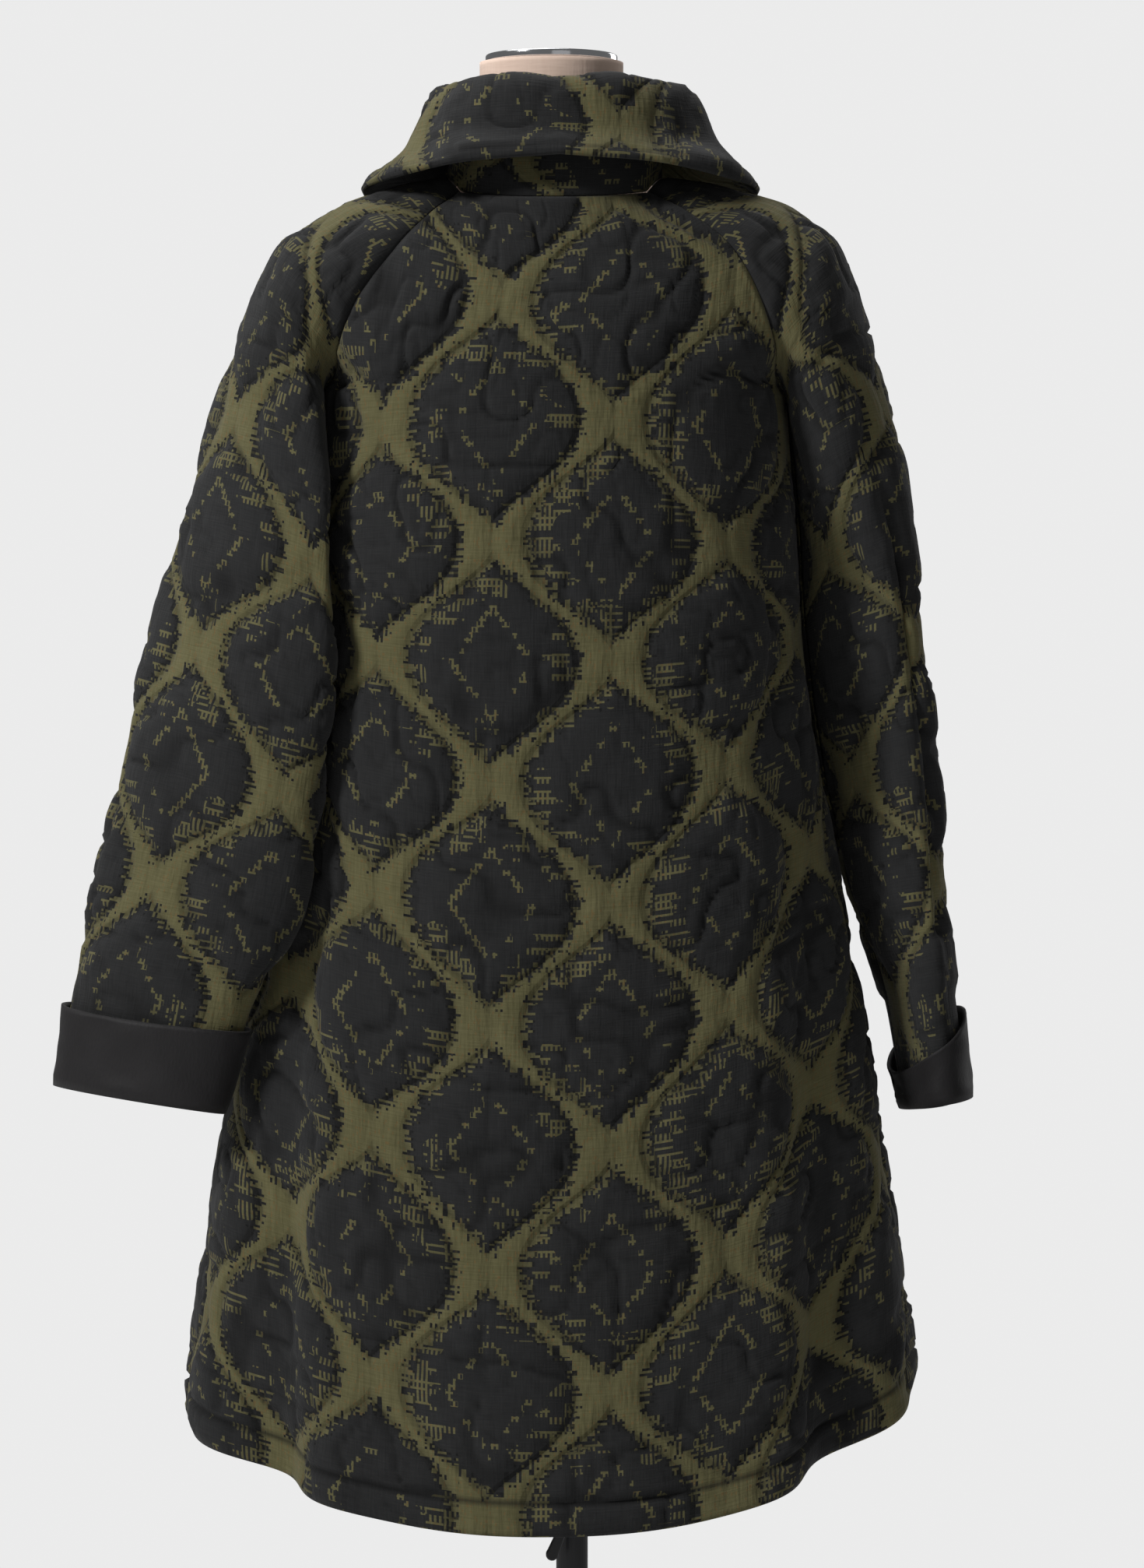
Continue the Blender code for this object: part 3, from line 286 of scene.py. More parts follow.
# Flare folds of the skirt. "at_top" and "at_hem" are angles round the body from the middle of the back,
# towards the wearer's right; "height" is at the hem, outwards, and it starts from nothing at "start".
FOLD_NAMES = "fold at_top at_hem half_width height start"
FOLDS = tuple(
    dict(zip(FOLD_NAMES.split(), row)) for row in (
        ("back_left_crest", -58, -37, 9, 0.012, 1.05),
        ("back_left_trough", -68, -49, 8, -0.02, 1.1),
        ("side_left_crest", -80, -64, 10, 0.014, 1.45),
        ("back_right_crest", 57, 38, 9, 0.01, 1.05),
        ("back_right_trough", 68, 50, 8, -0.018, 1.1),
        ("side_right_crest", 80, 65, 10, 0.014, 1.25),
        ("back_middle_swell", -10, -8, 16, 0.006, 1.4),
        ("front_left_trough", -118, -122, 10, -0.018, 1.2),
        ("front_left_crest", -135, -141, 10, 0.014, 1.15),
        ("front_right_trough", 120, 124, 10, -0.018, 1.2),
        ("front_right_crest", 137, 143, 10, 0.013, 1.15),
    )
)

# Long troughs down a sleeve, where its broad side folds in. "around" runs from -1 (back seam) to 0 (ridge).
SLEEVE_TROUGHS = {
    "left": (dict(around=-0.5, half_width=0.3, depth=0.006, first=1.05, last=1.55),),
    "right": (dict(around=-0.6, half_width=0.34, depth=0.015, first=0.85, last=1.95),),
}

# The collar: "angle" runs round the neck from the middle of the back. The roll is its top, the edge is the
# end of the fall; x is to the side of the collar's own middle, a little to the wearer's right.
COLLAR_SHIFT = 0.007
COLLAR_END = 174.0
COLLAR_START = 0.075  # it starts this far from the front's middle, as a share of the panel's half width
COLLAR = Table("angle roll_x roll_y roll_z edge_x edge_y edge_z", (
    (0, 0.0, -0.07, 1.516, 0.0, -0.103, 1.456),
    (25, 0.043, -0.062, 1.517, 0.07, -0.098, 1.451),
    (50, 0.075, -0.038, 1.5165, 0.122, -0.075, 1.442),
    (75, 0.091, -0.004, 1.5145, 0.149, -0.034, 1.4375),
    (100, 0.093, 0.034, 1.508, 0.154, 0.028, 1.4375),
    (125, 0.081, 0.068, 1.494, 0.142, 0.088, 1.418),
    (150, 0.051, 0.093, 1.474, 0.098, 0.137, 1.388),
    (165, 0.024, 0.101, 1.462, 0.056, 0.156, 1.37),
    (174, 0.009, 0.103, 1.457, 0.028, 0.163, 1.36),
))
# Stations of its foot, stand, roll's inside, roll, roll's outside, fall and edge, as shares of its length.
COLLAR_KNOTS = np.array([0.0, 0.22, 0.42, 0.5, 0.58, 0.78, 1.0])
ROLL_RADIUS = 0.0095
OUTSIDE_DROP = 1.1  # the roll's outside lies this far under its top, in radii
STAND_HOLLOW = 0.002  # the stand bends in by this much
FALL_HOLLOW = 0.009  # the fall hangs in by this much before it flares to its edge
FALL_SAG = 0.003  # and this much lower

# A turned-back cuff: its mean height, and how much higher it is on one side of the sleeve ("at" is around it).
CUFFS = {
    "left": dict(height=0.063, swing=0.004, at=0.8),
    "right": dict(height=0.047, swing=0.02, at=0.1),
}
CUFF_TALLEST = 0.068
CUFF_CLEAR = 0.0022  # between the sleeve and the turned-back cloth
CUFF_FLARE = 0.0022  # how much more the cuff's top edge stands off
CUFF_START = 0.006  # the turn at the bottom ends at this height

# The dress form: each ring has its own heights at the side, back and front.
FORM = Table("ring middle half back front z_side z_back z_front", (
    (0, -0.016, 0.056, 0.052, 0.06, 1.537, 1.537, 1.537),
    (1, -0.016, 0.056, 0.052, 0.06, 1.505, 1.505, 1.505),
    (2, -0.016, 0.058, 0.053, 0.061, 1.474, 1.474, 1.468),
    (3, -0.0155, 0.064, 0.057, 0.062, 1.452, 1.444, 1.43),
    (4, -0.013, 0.078, 0.062, 0.064, 1.44, 1.416, 1.392),
    (5, -0.009, 0.128, 0.076, 0.078, 1.429, 1.384, 1.354),
    (6, -0.0072, 0.157, 0.086, 0.09, 1.419, 1.35, 1.318),
    (7, -0.0066, 0.169, 0.094, 0.102, 1.403, 1.31, 1.282),
    (8, -0.0075, 0.168, 0.1, 0.114, 1.37, 1.27, 1.246),
    (9, -0.01, 0.156, 0.102, 0.118, 1.3, 1.21, 1.2),
    (10, -0.013, 0.148, 0.096, 0.11, 1.2, 1.13, 1.13),
    (11, -0.015, 0.13, 0.086, 0.094, 1.07, 1.05, 1.05),
    (12, -0.016, 0.154, 0.104, 0.104, 0.93, 0.93, 0.93),
    (13, -0.016, 0.164, 0.112, 0.108, 0.83, 0.83, 0.83),
    (14, -0.016, 0.16, 0.108, 0.104, 0.76, 0.76, 0.76),
    (15, -0.016, 0.145, 0.094, 0.09, 0.745, 0.745, 0.745),
))

# ------------------------ shape of the coat


def unit(vectors):
    length = np.linalg.norm(vectors, axis=-1, keepdims=True)
    return vectors / np.where(length < 1e-12, 1, length)


def point(x, y, z):
    return np.stack(np.broadcast_arrays(x, y, z), axis=-1)


def smooth_step(value):
    value = np.clip(value, 0, 1)
    return value * value * (3 - 2 * value)


def row_lengths(places):
    """Length along each row of a grid of points, from the row's start."""
    runs = np.linalg.norm(np.diff(places, axis=1), axis=-1)
    return np.concatenate((np.zeros((len(places), 1)), np.cumsum(runs, axis=1)), axis=1)


def column_lengths(places):
    return row_lengths(places.swapaxes(0, 1)).T


def points_at(at, lengths, places):
    """Points on a line of places, at these lengths along it."""
    return np.stack([np.interp(at, lengths, places[:, c]) for c in range(3)], axis=-1)


def yoke_frames():
    """Centre, ridge arm, breadth arm, spread and wrap of each yoke row."""
    column = YOKE.columns
    seam, ridge, breadth = (
        point(*(column[line + end] for end in ("_out", "_y", "_z"))) for line in ("seam", "ridge", "breadth")
    )
    reach = 1 - np.cos(np.radians(column["spread"]))
    arm = (ridge - seam) / reach[:, None]
    return ridge - arm, arm, breadth, column["spread"], column["wrap"]


def arm_frames(table):
    """The same five, for the closed rows of an arm."""
    column = table.columns
    tilt = np.radians(column["tilt"])
    turn = np.radians(column["turn"])[:, None]
    roll = np.radians(column["roll"])[:, None]
    outward = point(np.cos(tilt), 0, np.sin(tilt))
    forward = point(0, 1, 0)
    flat = column["flat"][:, None] * (np.cos(turn) * outward - np.sin(turn) * forward)
    long = column["long"][:, None] * (np.sin(turn) * outward + np.cos(turn) * forward)
    centre = point(column["out"], column["y"], column["z"])
    ridge_arm = flat * np.cos(roll) + long * np.sin(roll)
    breadth_arm = long * np.cos(roll) - flat * np.sin(roll)
    return centre, ridge_arm, breadth_arm, np.full(len(tilt), 180.0), column["wrap"]


def sleeve_surface(side, down, around):
    """Points of a sleeve; around is -1 at the back seam, 0 on the ridge and 1 at the front seam."""
    knots = np.concatenate((YOKE.stations, ARMS[side].stations))
    joined = [np.concatenate(pair) for pair in zip(yoke_frames(), arm_frames(ARMS[side]))]
    centre, arm, breadth = (
        np.stack([smooth_curve(knots, line, down) for line in frames.T], axis=-1) for frames in joined[:3]
    )
    spread, wrap = (smooth_curve(knots, line, down) for line in joined[3:])
    angle = np.radians(spread) * around
    place = centre + arm * np.cos(angle)[..., None] + breadth * np.sin(angle)[..., None]
    place[..., 0] -= wrap * np.sin(angle) ** 2
    inward = -unit(place - centre)
    for trough in SLEEVE_TROUGHS[side]:
        along = (down - trough["first"]) / (trough["last"] - trough["first"])
        window = np.sin(np.pi * np.clip(along, 0, 1)) ** 2
        away = np.clip((around - trough["around"]) / trough["half_width"], -1, 1)
        across = np.cos(away * np.pi / 2) ** 2
        place = place + inward * (trough["depth"] * window * across)[..., None]
    sign = -1 if side == "left" else 1
    place[..., 0] = LEAN.read("x", down) + sign * place[..., 0]
    return place


def body_edge(face, down):
    """Distance out, y and z of the line where a body panel ends: raglan seam, then side seam."""
    seam = sleeve_surface("right", np.minimum(down, 1.0), np.full_like(down, -1.0 if face == "back" else 1.0))
    seam[..., 0] -= LEAN.read("x", down)
    return [
        np.where(down > 1.0, SIDE.read(name, down), seam[..., c]) for c, name in enumerate(("out", "y", "z"))
    ]


def fold_height(down, degrees):
    """Height of the flare folds at an angle round the body."""
    height = np.zeros(np.broadcast(down, degrees).shape)
    for fold in FOLDS:
        share = np.clip((down - fold["start"]) / (2.0 - fold["start"]), 0, 1)
        middle = fold["at_top"] + (fold["at_hem"] - fold["at_top"]) * np.clip(down - 1.0, 0, 1)
        away = (degrees - middle + 180.0) % 360.0 - 180.0
        height = height + fold["height"] * share ** 1.2 * np.exp(-(away / fold["half_width"]) ** 2)
    return height


def body_surface(face, down, across):
    """Points of the back or front; across is -1 on the wearer's left edge and 1 on the right one."""
    out, edge_y, edge_z = body_edge(face, down)
    middle_y = MIDDLE.read(face + "_y", down)
    middle_z = MIDDLE.read(face + "_z", down)
    arc = np.radians(MIDDLE.read("arc", down))
    lateral = np.sin(across * arc) / np.sin(arc)
    fullness = np.clip(1 - np.abs(lateral) ** MIDDLE.read("power", down), 0, 1)
    depth = fullness ** (1 / MIDDLE.read("close", down))
    x = LEAN.read("x", down) + out * lateral
    y = edge_y + (middle_y - edge_y) * depth
    lift = RIGHT_HEM_LIFT * smooth_step(down - 1.0) * np.clip(lateral, 0, 1) ** RIGHT_LIFT_POWER
    z = middle_z + (edge_z - middle_z) * np.abs(lateral) ** SIDE_RISE_POWER + lift
    degrees = across * 90.0 if face == "back" else 180.0 - across * 90.0
    height = fold_height(down, degrees)
    turn = np.radians(degrees)
    return point(x + height * np.sin(turn), y - height * np.cos(turn), z)


def lap_share(down, distance):
    """One for each distance from the front's middle, as a share of the panel's half width."""
    out, _, _ = body_edge("front", down)
    arc = np.radians(MIDDLE.read("arc", down))
    return distance * np.sin(arc) / (out * arc)


# ------------------------ grids


def grain(places, zero_column):
    """Length across from a column and down along it, for a grid of points."""
    across = row_lengths(places)
    along = column_lengths(places)[:, zero_column:zero_column + 1]
    return across - across[:, zero_column:zero_column + 1], np.broadcast_to(along, across.shape)


def edge_distance(places):
    """Distance of each grid point to the nearest edge of the grid, along its row or column."""
    across, along = row_lengths(places), column_lengths(places)
    sideways = np.minimum(across, across[:, -1:] - across)
    return np.minimum(sideways, np.minimum(along, along[-1:] - along))


def grid_normals(places):
    """Sum of the unit normals of the cells round each point of a grid."""
    rows = places[1:, :-1] + places[1:, 1:] - places[:-1, :-1] - places[:-1, 1:]
    columns = places[:-1, 1:] + places[1:, 1:] - places[:-1, :-1] - places[1:, :-1]
    cells = unit(np.cross(rows, columns))
    total = np.zeros_like(places)
    for part in (total[:-1, :-1], total[1:, :-1], total[:-1, 1:], total[1:, 1:]):
        part += cells
    return total


def share_normals(panels):
    """Unit normals, the same for points that panels of a family share along their seams."""
    places, normals, families = (
        np.concatenate([panel[key].reshape(-1, width) for panel in panels])
        for key, width in (("places", 3), ("normals", 3), ("family", 1))
    )
    keys = np.round(np.column_stack((places, families)) / SAME_PLACE).astype(np.int64)
    _, group = np.unique(keys, axis=0, return_inverse=True)
    group = group.reshape(-1)
    total = np.zeros((group.max() + 1, 3))
    np.add.at(total, group, normals)
    shared = unit(total)[group]
    ends = np.cumsum([panel["family"].size for panel in panels])
    for panel, part in zip(panels, np.split(shared, ends[:-1])):
        panel["normals"] = part.reshape(panel["normals"].shape)


def inset(places, normals, gap):
    """Move the four edges of a grid into its own surface by the gap."""
    moved = places.copy()
    for turned in (False, True):
        target, source, up = (grid.swapaxes(0, 1) if turned else grid for grid in (moved, places, normals))
        for first, second in ((0, 1), (-1, -2)):
            edge = source[first]
            side = unit(np.cross(up[first], np.gradient(edge, axis=0)))
            side = side * np.sign(np.sum(side * (source[second] - edge), axis=-1, keepdims=True))
            target[first] += side * gap
    return moved


def steps(rows_yoke, rows_low):
    """Stations from the neck over the underarm to the end."""
    return np.concatenate((np.linspace(0, 1, rows_yoke + 1), np.linspace(1, 2, rows_low + 1)[1:]))


def coat_panels():
    """Base grids of the five panels that meet at the underarms."""
    body_down = steps(YOKE_ROWS, BODY_ROWS)[:, None]
    arm_down = steps(YOKE_ROWS, ARM_ROWS)[:, None]
    whole = np.linspace(-1, 1, BACK_COLUMNS + 1)[None, :]
    half = np.linspace(0, 1, FRONT_COLUMNS + 1)[None, :]
    lap = np.linspace(-1, 0, LAP_COLUMNS + 1)[None, :-1] * lap_share(body_down, LAP_WIDTH)
    lapped = np.concatenate((lap, half + 0 * body_down), axis=1)
    around = np.linspace(-1, 1, SLEEVE_COLUMNS + 1)[None, :]
    cuts = (
        ("back", body_surface, "back", body_down, whole, 1, BACK_COLUMNS // 2),
        ("front_left", body_surface, "front", body_down, half - 1, -1, FRONT_COLUMNS),
        ("front_right", body_surface, "front", body_down, lapped, -1, LAP_COLUMNS),
        ("sleeve_left", sleeve_surface, "left", arm_down, around, -1, SLEEVE_COLUMNS // 2),
        ("sleeve_right", sleeve_surface, "right", arm_down, around, 1, SLEEVE_COLUMNS // 2),
    )
    panels = {}
    for name, surface, part, stations, across, out, zero in cuts:
        down = stations + 0 * across
        places = surface(part, down, across + 0 * stations)
        family = (down > 1 - 1e-6) * float(surface is sleeve_surface)
        panels[name] = dict(places=places, normals=grid_normals(places) * out, family=family, down=stations,
                            out=out, zero=zero)
    share_normals(list(panels.values()))
    return panels


def sink_under_lap(panel, across):
    """Move the left front in, where the right one lies over it; the share of its relief that stays."""
    reach = LAP_WIDTH + LAP_CLEAR + LAP_EASE
    depth = (WALL + LAP_GAP) * smooth_step((reach + across) / LAP_EASE)
    panel["places"] = panel["places"] - panel["normals"] * depth[..., None]
    return 1 - smooth_step((reach + LAP_EASE + across) / LAP_EASE)


# ------------------------ collar and cuffs


def neck_ring(count):
    """Points of the neck seam, even along its length, from the left front's middle round the back."""
    along = np.linspace(0, 1, NECK_POINTS)
    zero = np.zeros_like(along)
    spans = (
        body_surface("front", zero, -COLLAR_START - (1 - COLLAR_START) * along),
        sleeve_surface("left", zero, 1 - 2 * along),
        body_surface("back", zero, -1 + 2 * along),
        sleeve_surface("right", zero, -1 + 2 * along),
        body_surface("front", zero, 1 - (1 - COLLAR_START) * along),
    )
    line = np.concatenate([span if k == 0 else span[1:] for k, span in enumerate(spans)])
    length = row_lengths(line[None])[0]
    return points_at(np.linspace(0, length[-1], count), length, line)


def collar_profile(foot, roll, edge, count):
    """Rows of the collar's under side: up the stand, over the roll, down the fall."""
    outward = unit((edge - roll) * np.array([1.0, 1.0, 0.0]))
    up = np.array([0.0, 0.0, 1.0])
    inside = roll - outward * ROLL_RADIUS - up * ROLL_RADIUS
    outside = roll + outward * ROLL_RADIUS - up * ROLL_RADIUS * OUTSIDE_DROP
    controls = np.stack((
        foot, foot * 0.5 + inside * 0.5 - outward * STAND_HOLLOW, inside, roll, outside,
        outside * 0.5 + edge * 0.5 - outward * FALL_HOLLOW - up * FALL_SAG, edge,
    ))
    at = np.linspace(0, 1, count)
    lines = [smooth_curve(COLLAR_KNOTS, line, at) for line in controls.reshape(len(controls), -1).T]
    return np.stack(lines, axis=-1).reshape(count, *foot.shape)


def collar_grid(columns, rows):
    """Base grid of the collar: columns run round the neck from the left front to the right front."""
    foot = neck_ring(columns) + np.array([0.0, 0.0, NECK_SEAM_GAP])
    share = np.linspace(-1, 1, columns)
    roll, edge = (
        point(*(COLLAR.read(line + end, np.abs(share) * COLLAR_END) for end in ("_x", "_y", "_z")))
        for line in ("roll", "edge")
    )
    for line in (roll, edge):
        line[:, 0] = COAT_X + COLLAR_SHIFT + np.sign(share) * line[:, 0]
    return collar_profile(foot, roll, edge, rows)


def cuff_profile():
    """Rows of the turned-back cuff, inside and outside: offset from the sleeve's base, and height over its end
    as a share of the cuff's height, or in metres where it is under the end."""
    rows = [
        ((-WALL, -FIT_GAP), (-WALL, -FIT_GAP - CUFF_WALL)),
        ((CUFF_CLEAR * 0.6, -FIT_GAP), (CUFF_CLEAR + CUFF_WALL * 0.6, -FIT_GAP - CUFF_WALL * 0.8)),
    ]
    for share in np.linspace(0, 1, CUFF_ROWS):
        height = CUFF_START / CUFF_TALLEST * (1 - share) + share
        off = CUFF_CLEAR + CUFF_FLARE * share ** 2
        rows.append(((off, height), (off + CUFF_WALL, height)))
    return rows


def cuff_grids(side, sleeve):
    """Outer and inner grids of a turned-back cuff round the end of a sleeve's grid."""
    places, normals = sleeve["places"][::-1], sleeve["normals"][::-1]
    length = column_lengths(places)
    onward = unit(places[0] - places[1])
    around = np.linspace(-1, 1, places.shape[1])
    shape = CUFFS[side]
    tallest = shape["height"] + shape["swing"] * np.cos(np.pi * (around - shape["at"]))
    off, share = np.moveaxis(np.array(cuff_profile()), -1, 0)
    lines = []
    for i, tall in enumerate(tallest):
        height = np.where(share > 0, share * tall, share)
        base = points_at(height, length[:, i], places[:, i])
        normal = unit(points_at(height, length[:, i], normals[:, i]))
        lines.append(base + normal * off[..., None] + onward[i] * np.maximum(-height, 0)[..., None])
    inner, outer = (inset_sides(grid, SEAM_GAP / 2) for grid in np.array(lines).transpose(2, 1, 0, 3))
    return outer, inner


def inset_sides(grid, gap):
    """Move a grid's first and last column in by the gap, along its rows."""
    grid = grid.copy()
    grid[:, 0] += unit(grid[:, 1] - grid[:, 0]) * gap
    grid[:, -1] += unit(grid[:, -2] - grid[:, -1]) * gap
    return grid


# ------------------------ fine quilting


def noise(u, v, cell, seed, height):
    """Smooth noise about zero, with a new value every cell."""
    a, b = u / cell, v / cell
    i, j = np.floor(a), np.floor(b)
    s, t = smooth_step(a - i), smooth_step(b - j)

    def corner(x, y):
        value = np.sin(x * 12.9898 + y * 78.233 + seed * 37.719) * 43758.5453
        return value - np.floor(value)

    low = corner(i, j) * (1 - s) + corner(i + 1, j) * s
    high = corner(i, j + 1) * (1 - s) + corner(i + 1, j + 1) * s
    return (low * (1 - t) + high * t - 0.5) * height


def groove(distance, half):
    """One in the middle of a groove, falling to nothing at three times its half width."""
    return np.exp(-(distance / half) ** 2)


def edge_line(edges, place, half, height):
    """A line along an edge: how much of it shows at each point, and its height there."""
    share = groove(edges - place, half)
    return share, height * share


def lattice_distance(across, swing):
    """Distance to the nearest wavy line of the half-drop ogee lattice."""
    even, odd = (
        np.abs((place + CELL_WIDTH / 2) % CELL_WIDTH - CELL_WIDTH / 2)
        for place in (across - swing, across - CELL_WIDTH / 2 + swing)
    )
    return np.minimum(even, odd)


def quilt_relief(across, along):
    """Height of the cloth's outer side, and the painted shade of its tucks and dimples."""
    wave = np.cos(2 * math.pi * along / CELL_HEIGHT)
    distance = lattice_distance(across, LINE_SWING * wave) + noise(across, along, *LINE_NOISE)
    half = BAND_NARROW + (BAND_BROAD - BAND_NARROW) * wave ** 2
    band = BAND_RISE * (1 - np.clip(distance / half, 0, 1) ** 2) * (1 + noise(across, along, *BAND_NOISE))
    inside = np.maximum(distance - half, 0)
    steep = 1 - np.exp(-inside / PUFF_EDGE)
    puff = PUFF * (PUFF_STEEP * steep + (1 - PUFF_STEEP) * smooth_step(inside / PUFF_REACH))
    tuck = groove(noise(across, along, *TUCK_NOISE), TUCK_HALF)
    dimple = groove(noise(across, along, *DIMPLE_NOISE), DIMPLE_HALF)
    puff = puff - (TUCK * tuck + DIMPLE * dimple) * smooth_step(inside / TUCK_FADE)
    # painted shade: the cloth is darkened in the tucks and dimples
    painted_groove_shade = np.maximum(tuck, DIMPLE_SHADE * dimple) * smooth_step(inside / SHADE_FADE)
    return np.where(distance < half, band, puff) + noise(across, along, *RIPPLE_NOISE), painted_groove_shade


# Creases, listed one by one: where each starts and ends as shares of the piece's width and length, half width
# and depth.
CREASES = {
    "back": (
        (0.13, 0.3, 0.17, 0.52, 0.01, 0.0045),
        (0.87, 0.27, 0.84, 0.47, 0.009, 0.0038),
        (0.09, 0.2, 0.22, 0.26, 0.008, 0.003),
        (0.9, 0.19, 0.8, 0.25, 0.007, 0.0026),
        (0.3, 0.72, 0.27, 0.97, 0.012, 0.004),
        (0.66, 0.66, 0.71, 0.93, 0.011, 0.0034),
    ),
    "front_left": ((0.16, 0.22, 0.3, 0.4, 0.009, 0.0036), (0.4, 0.6, 0.34, 0.95, 0.012, 0.004)),
    "front_right": ((0.85, 0.24, 0.74, 0.43, 0.008, 0.0032), (0.6, 0.64, 0.67, 0.92, 0.012, 0.0038)),
    "sleeve_left": (
        (0.22, 0.3, 0.42, 0.38, 0.008, 0.0034),
        (0.16, 0.47, 0.47, 0.55, 0.009, 0.004),
        (0.1, 0.62, 0.34, 0.6, 0.007, 0.0028),
        (0.68, 0.42, 0.9, 0.52, 0.009, 0.0034),
    ),
    "sleeve_right": (
        (0.33, 0.31, 0.34, 0.98, 0.014, 0.013),
        (0.2, 0.33, 0.4, 0.29, 0.008, 0.0034),
        (0.12, 0.5, 0.36, 0.58, 0.009, 0.0036),
        (0.28, 0.72, 0.52, 0.66, 0.007, 0.0028),
        (0.66, 0.5, 0.86, 0.44, 0.008, 0.0032),
    ),
    "collar": ((0.3, 0.66, 0.36, 0.92, 0.007, 0.0018), (0.62, 0.6, 0.66, 0.9, 0.008, 0.002)),
}
CREASE_BEND = 0.004  # how far a crease bends to a side on its way
CREASE_ENDS = (0.3, 0.4)  # shares of its length over which it sinks in and runs out
CREASE_FADE = 0.03  # it dies away over this width along a seam
COLLAR_CREASE_FADE = 0.02


def crease_depth(name, places):
    """Depth of the soft troughs listed for a piece."""
    rows, columns = places.shape[:2]
    across, along = np.meshgrid(np.linspace(0, 1, columns), np.linspace(0, 1, rows))
    width = row_lengths(places)[rows // 2, -1]
    length = column_lengths(places)[-1, columns // 2]
    depth = np.zeros((rows, columns))
    for u0, v0, u1, v1, half, deep in CREASES[name]:
        du, dv = (u1 - u0) * width, (v1 - v0) * length
        pu, pv = (across - u0) * width, (along - v0) * length
        run = (pu * du + pv * dv) / (du * du + dv * dv)
        bend = CREASE_BEND * np.sin(run * 7.0 + u0 * 20.0)
        off = np.abs(pu * dv - pv * du) / math.hypot(du, dv) + bend
        taper = smooth_step(run / CREASE_ENDS[0]) * smooth_step((1 - run) / CREASE_ENDS[1])
        depth = depth + deep * taper * groove(off, half)
    return depth


# ------------------------ materials


def operation(kind, swapped=False):
    """A method that joins a value with another value or a number."""
    def apply(self, other):
        return self.nodes.math(kind, *((other, self) if swapped else (self, other)))
    return apply


class Value:
    """The output of a node, which takes part in sums and comparisons like a number."""

    def __init__(self, nodes, socket):
        self.nodes, self.socket = nodes, socket

    __add__ = __radd__ = operation("ADD")
    __sub__ = operation("SUBTRACT")
    __rsub__ = operation("SUBTRACT", swapped=True)
    __mul__ = __rmul__ = operation("MULTIPLY")
    __truediv__ = operation("DIVIDE")
    __lt__ = operation("LESS_THAN")
    __gt__ = operation("GREATER_THAN")


class Nodes:
    """Short calls for the nodes of one material."""

    def __init__(self, name):
        self.material = bpy.data.materials.new(name)
        self.material.use_nodes = True
        self.tree = self.material.node_tree
        self.shader = self.tree.nodes["Principled BSDF"]

    def feed(self, socket, value):
        if isinstance(value, Value):
            self.tree.links.new(value.socket, socket)
        else:
            socket.default_value = value

    def value(self, kind, output=0, inputs=(), **settings):
        """An output of a new node."""
        made = self.tree.nodes.new(kind)
        for key, setting in settings.items():
            setattr(made, key, setting)
        for key, fed in dict(inputs).items():
            self.feed(made.inputs[key], fed)
        return Value(self, made.outputs[output])

    def math(self, kind, *values):
        return self.value("ShaderNodeMath", inputs=enumerate(values), operation=kind)

    def least(self, first, second):
        return self.math("MINIMUM", first, second)

    def most(self, first, second):
        return self.math("MAXIMUM", first, second)

    def size(self, value):
        return self.math("ABSOLUTE", value)

    def white(self, x, y):
        """A random number from 0 to 1 for each pair."""
        place = self.value("ShaderNodeCombineXYZ", inputs={0: x, 1: y})
        return self.value("ShaderNodeTexWhiteNoise", "Value", {"Vector": place}, noise_dimensions="2D")

    def cloud(self, vector, scale, detail=2.0, stretch=(1.0, 1.0, 1.0)):
        place = self.value("ShaderNodeMapping", inputs={"Vector": vector, "Scale": stretch})
        return self.value("ShaderNodeTexNoise", "Fac", {"Vector": place, "Scale": scale, "Detail": detail})

    def mix(self, factor, first, second):
        first, second = ((*tone, 1.0) if isinstance(tone, tuple) else tone for tone in (first, second))
        return self.value("ShaderNodeMix", 2, {0: factor, 6: first, 7: second}, data_type="RGBA")

    def bump(self, height, strength, distance):
        relief = {"Height": height, "Strength": strength, "Distance": distance}
        self.feed(self.shader.inputs["Normal"], self.value("ShaderNodeBump", inputs=relief))

    def finish(self, colour, roughness, specular=0.5, metallic=0.0, sheen=0.0):
        for name, value in (("Base Color", colour), ("Roughness", roughness), ("Specular IOR Level", specular),
                            ("Metallic", metallic), ("Sheen Weight", sheen), ("Sheen Roughness", 0.6)):
            self.feed(self.shader.inputs[name], value)
        return self.material


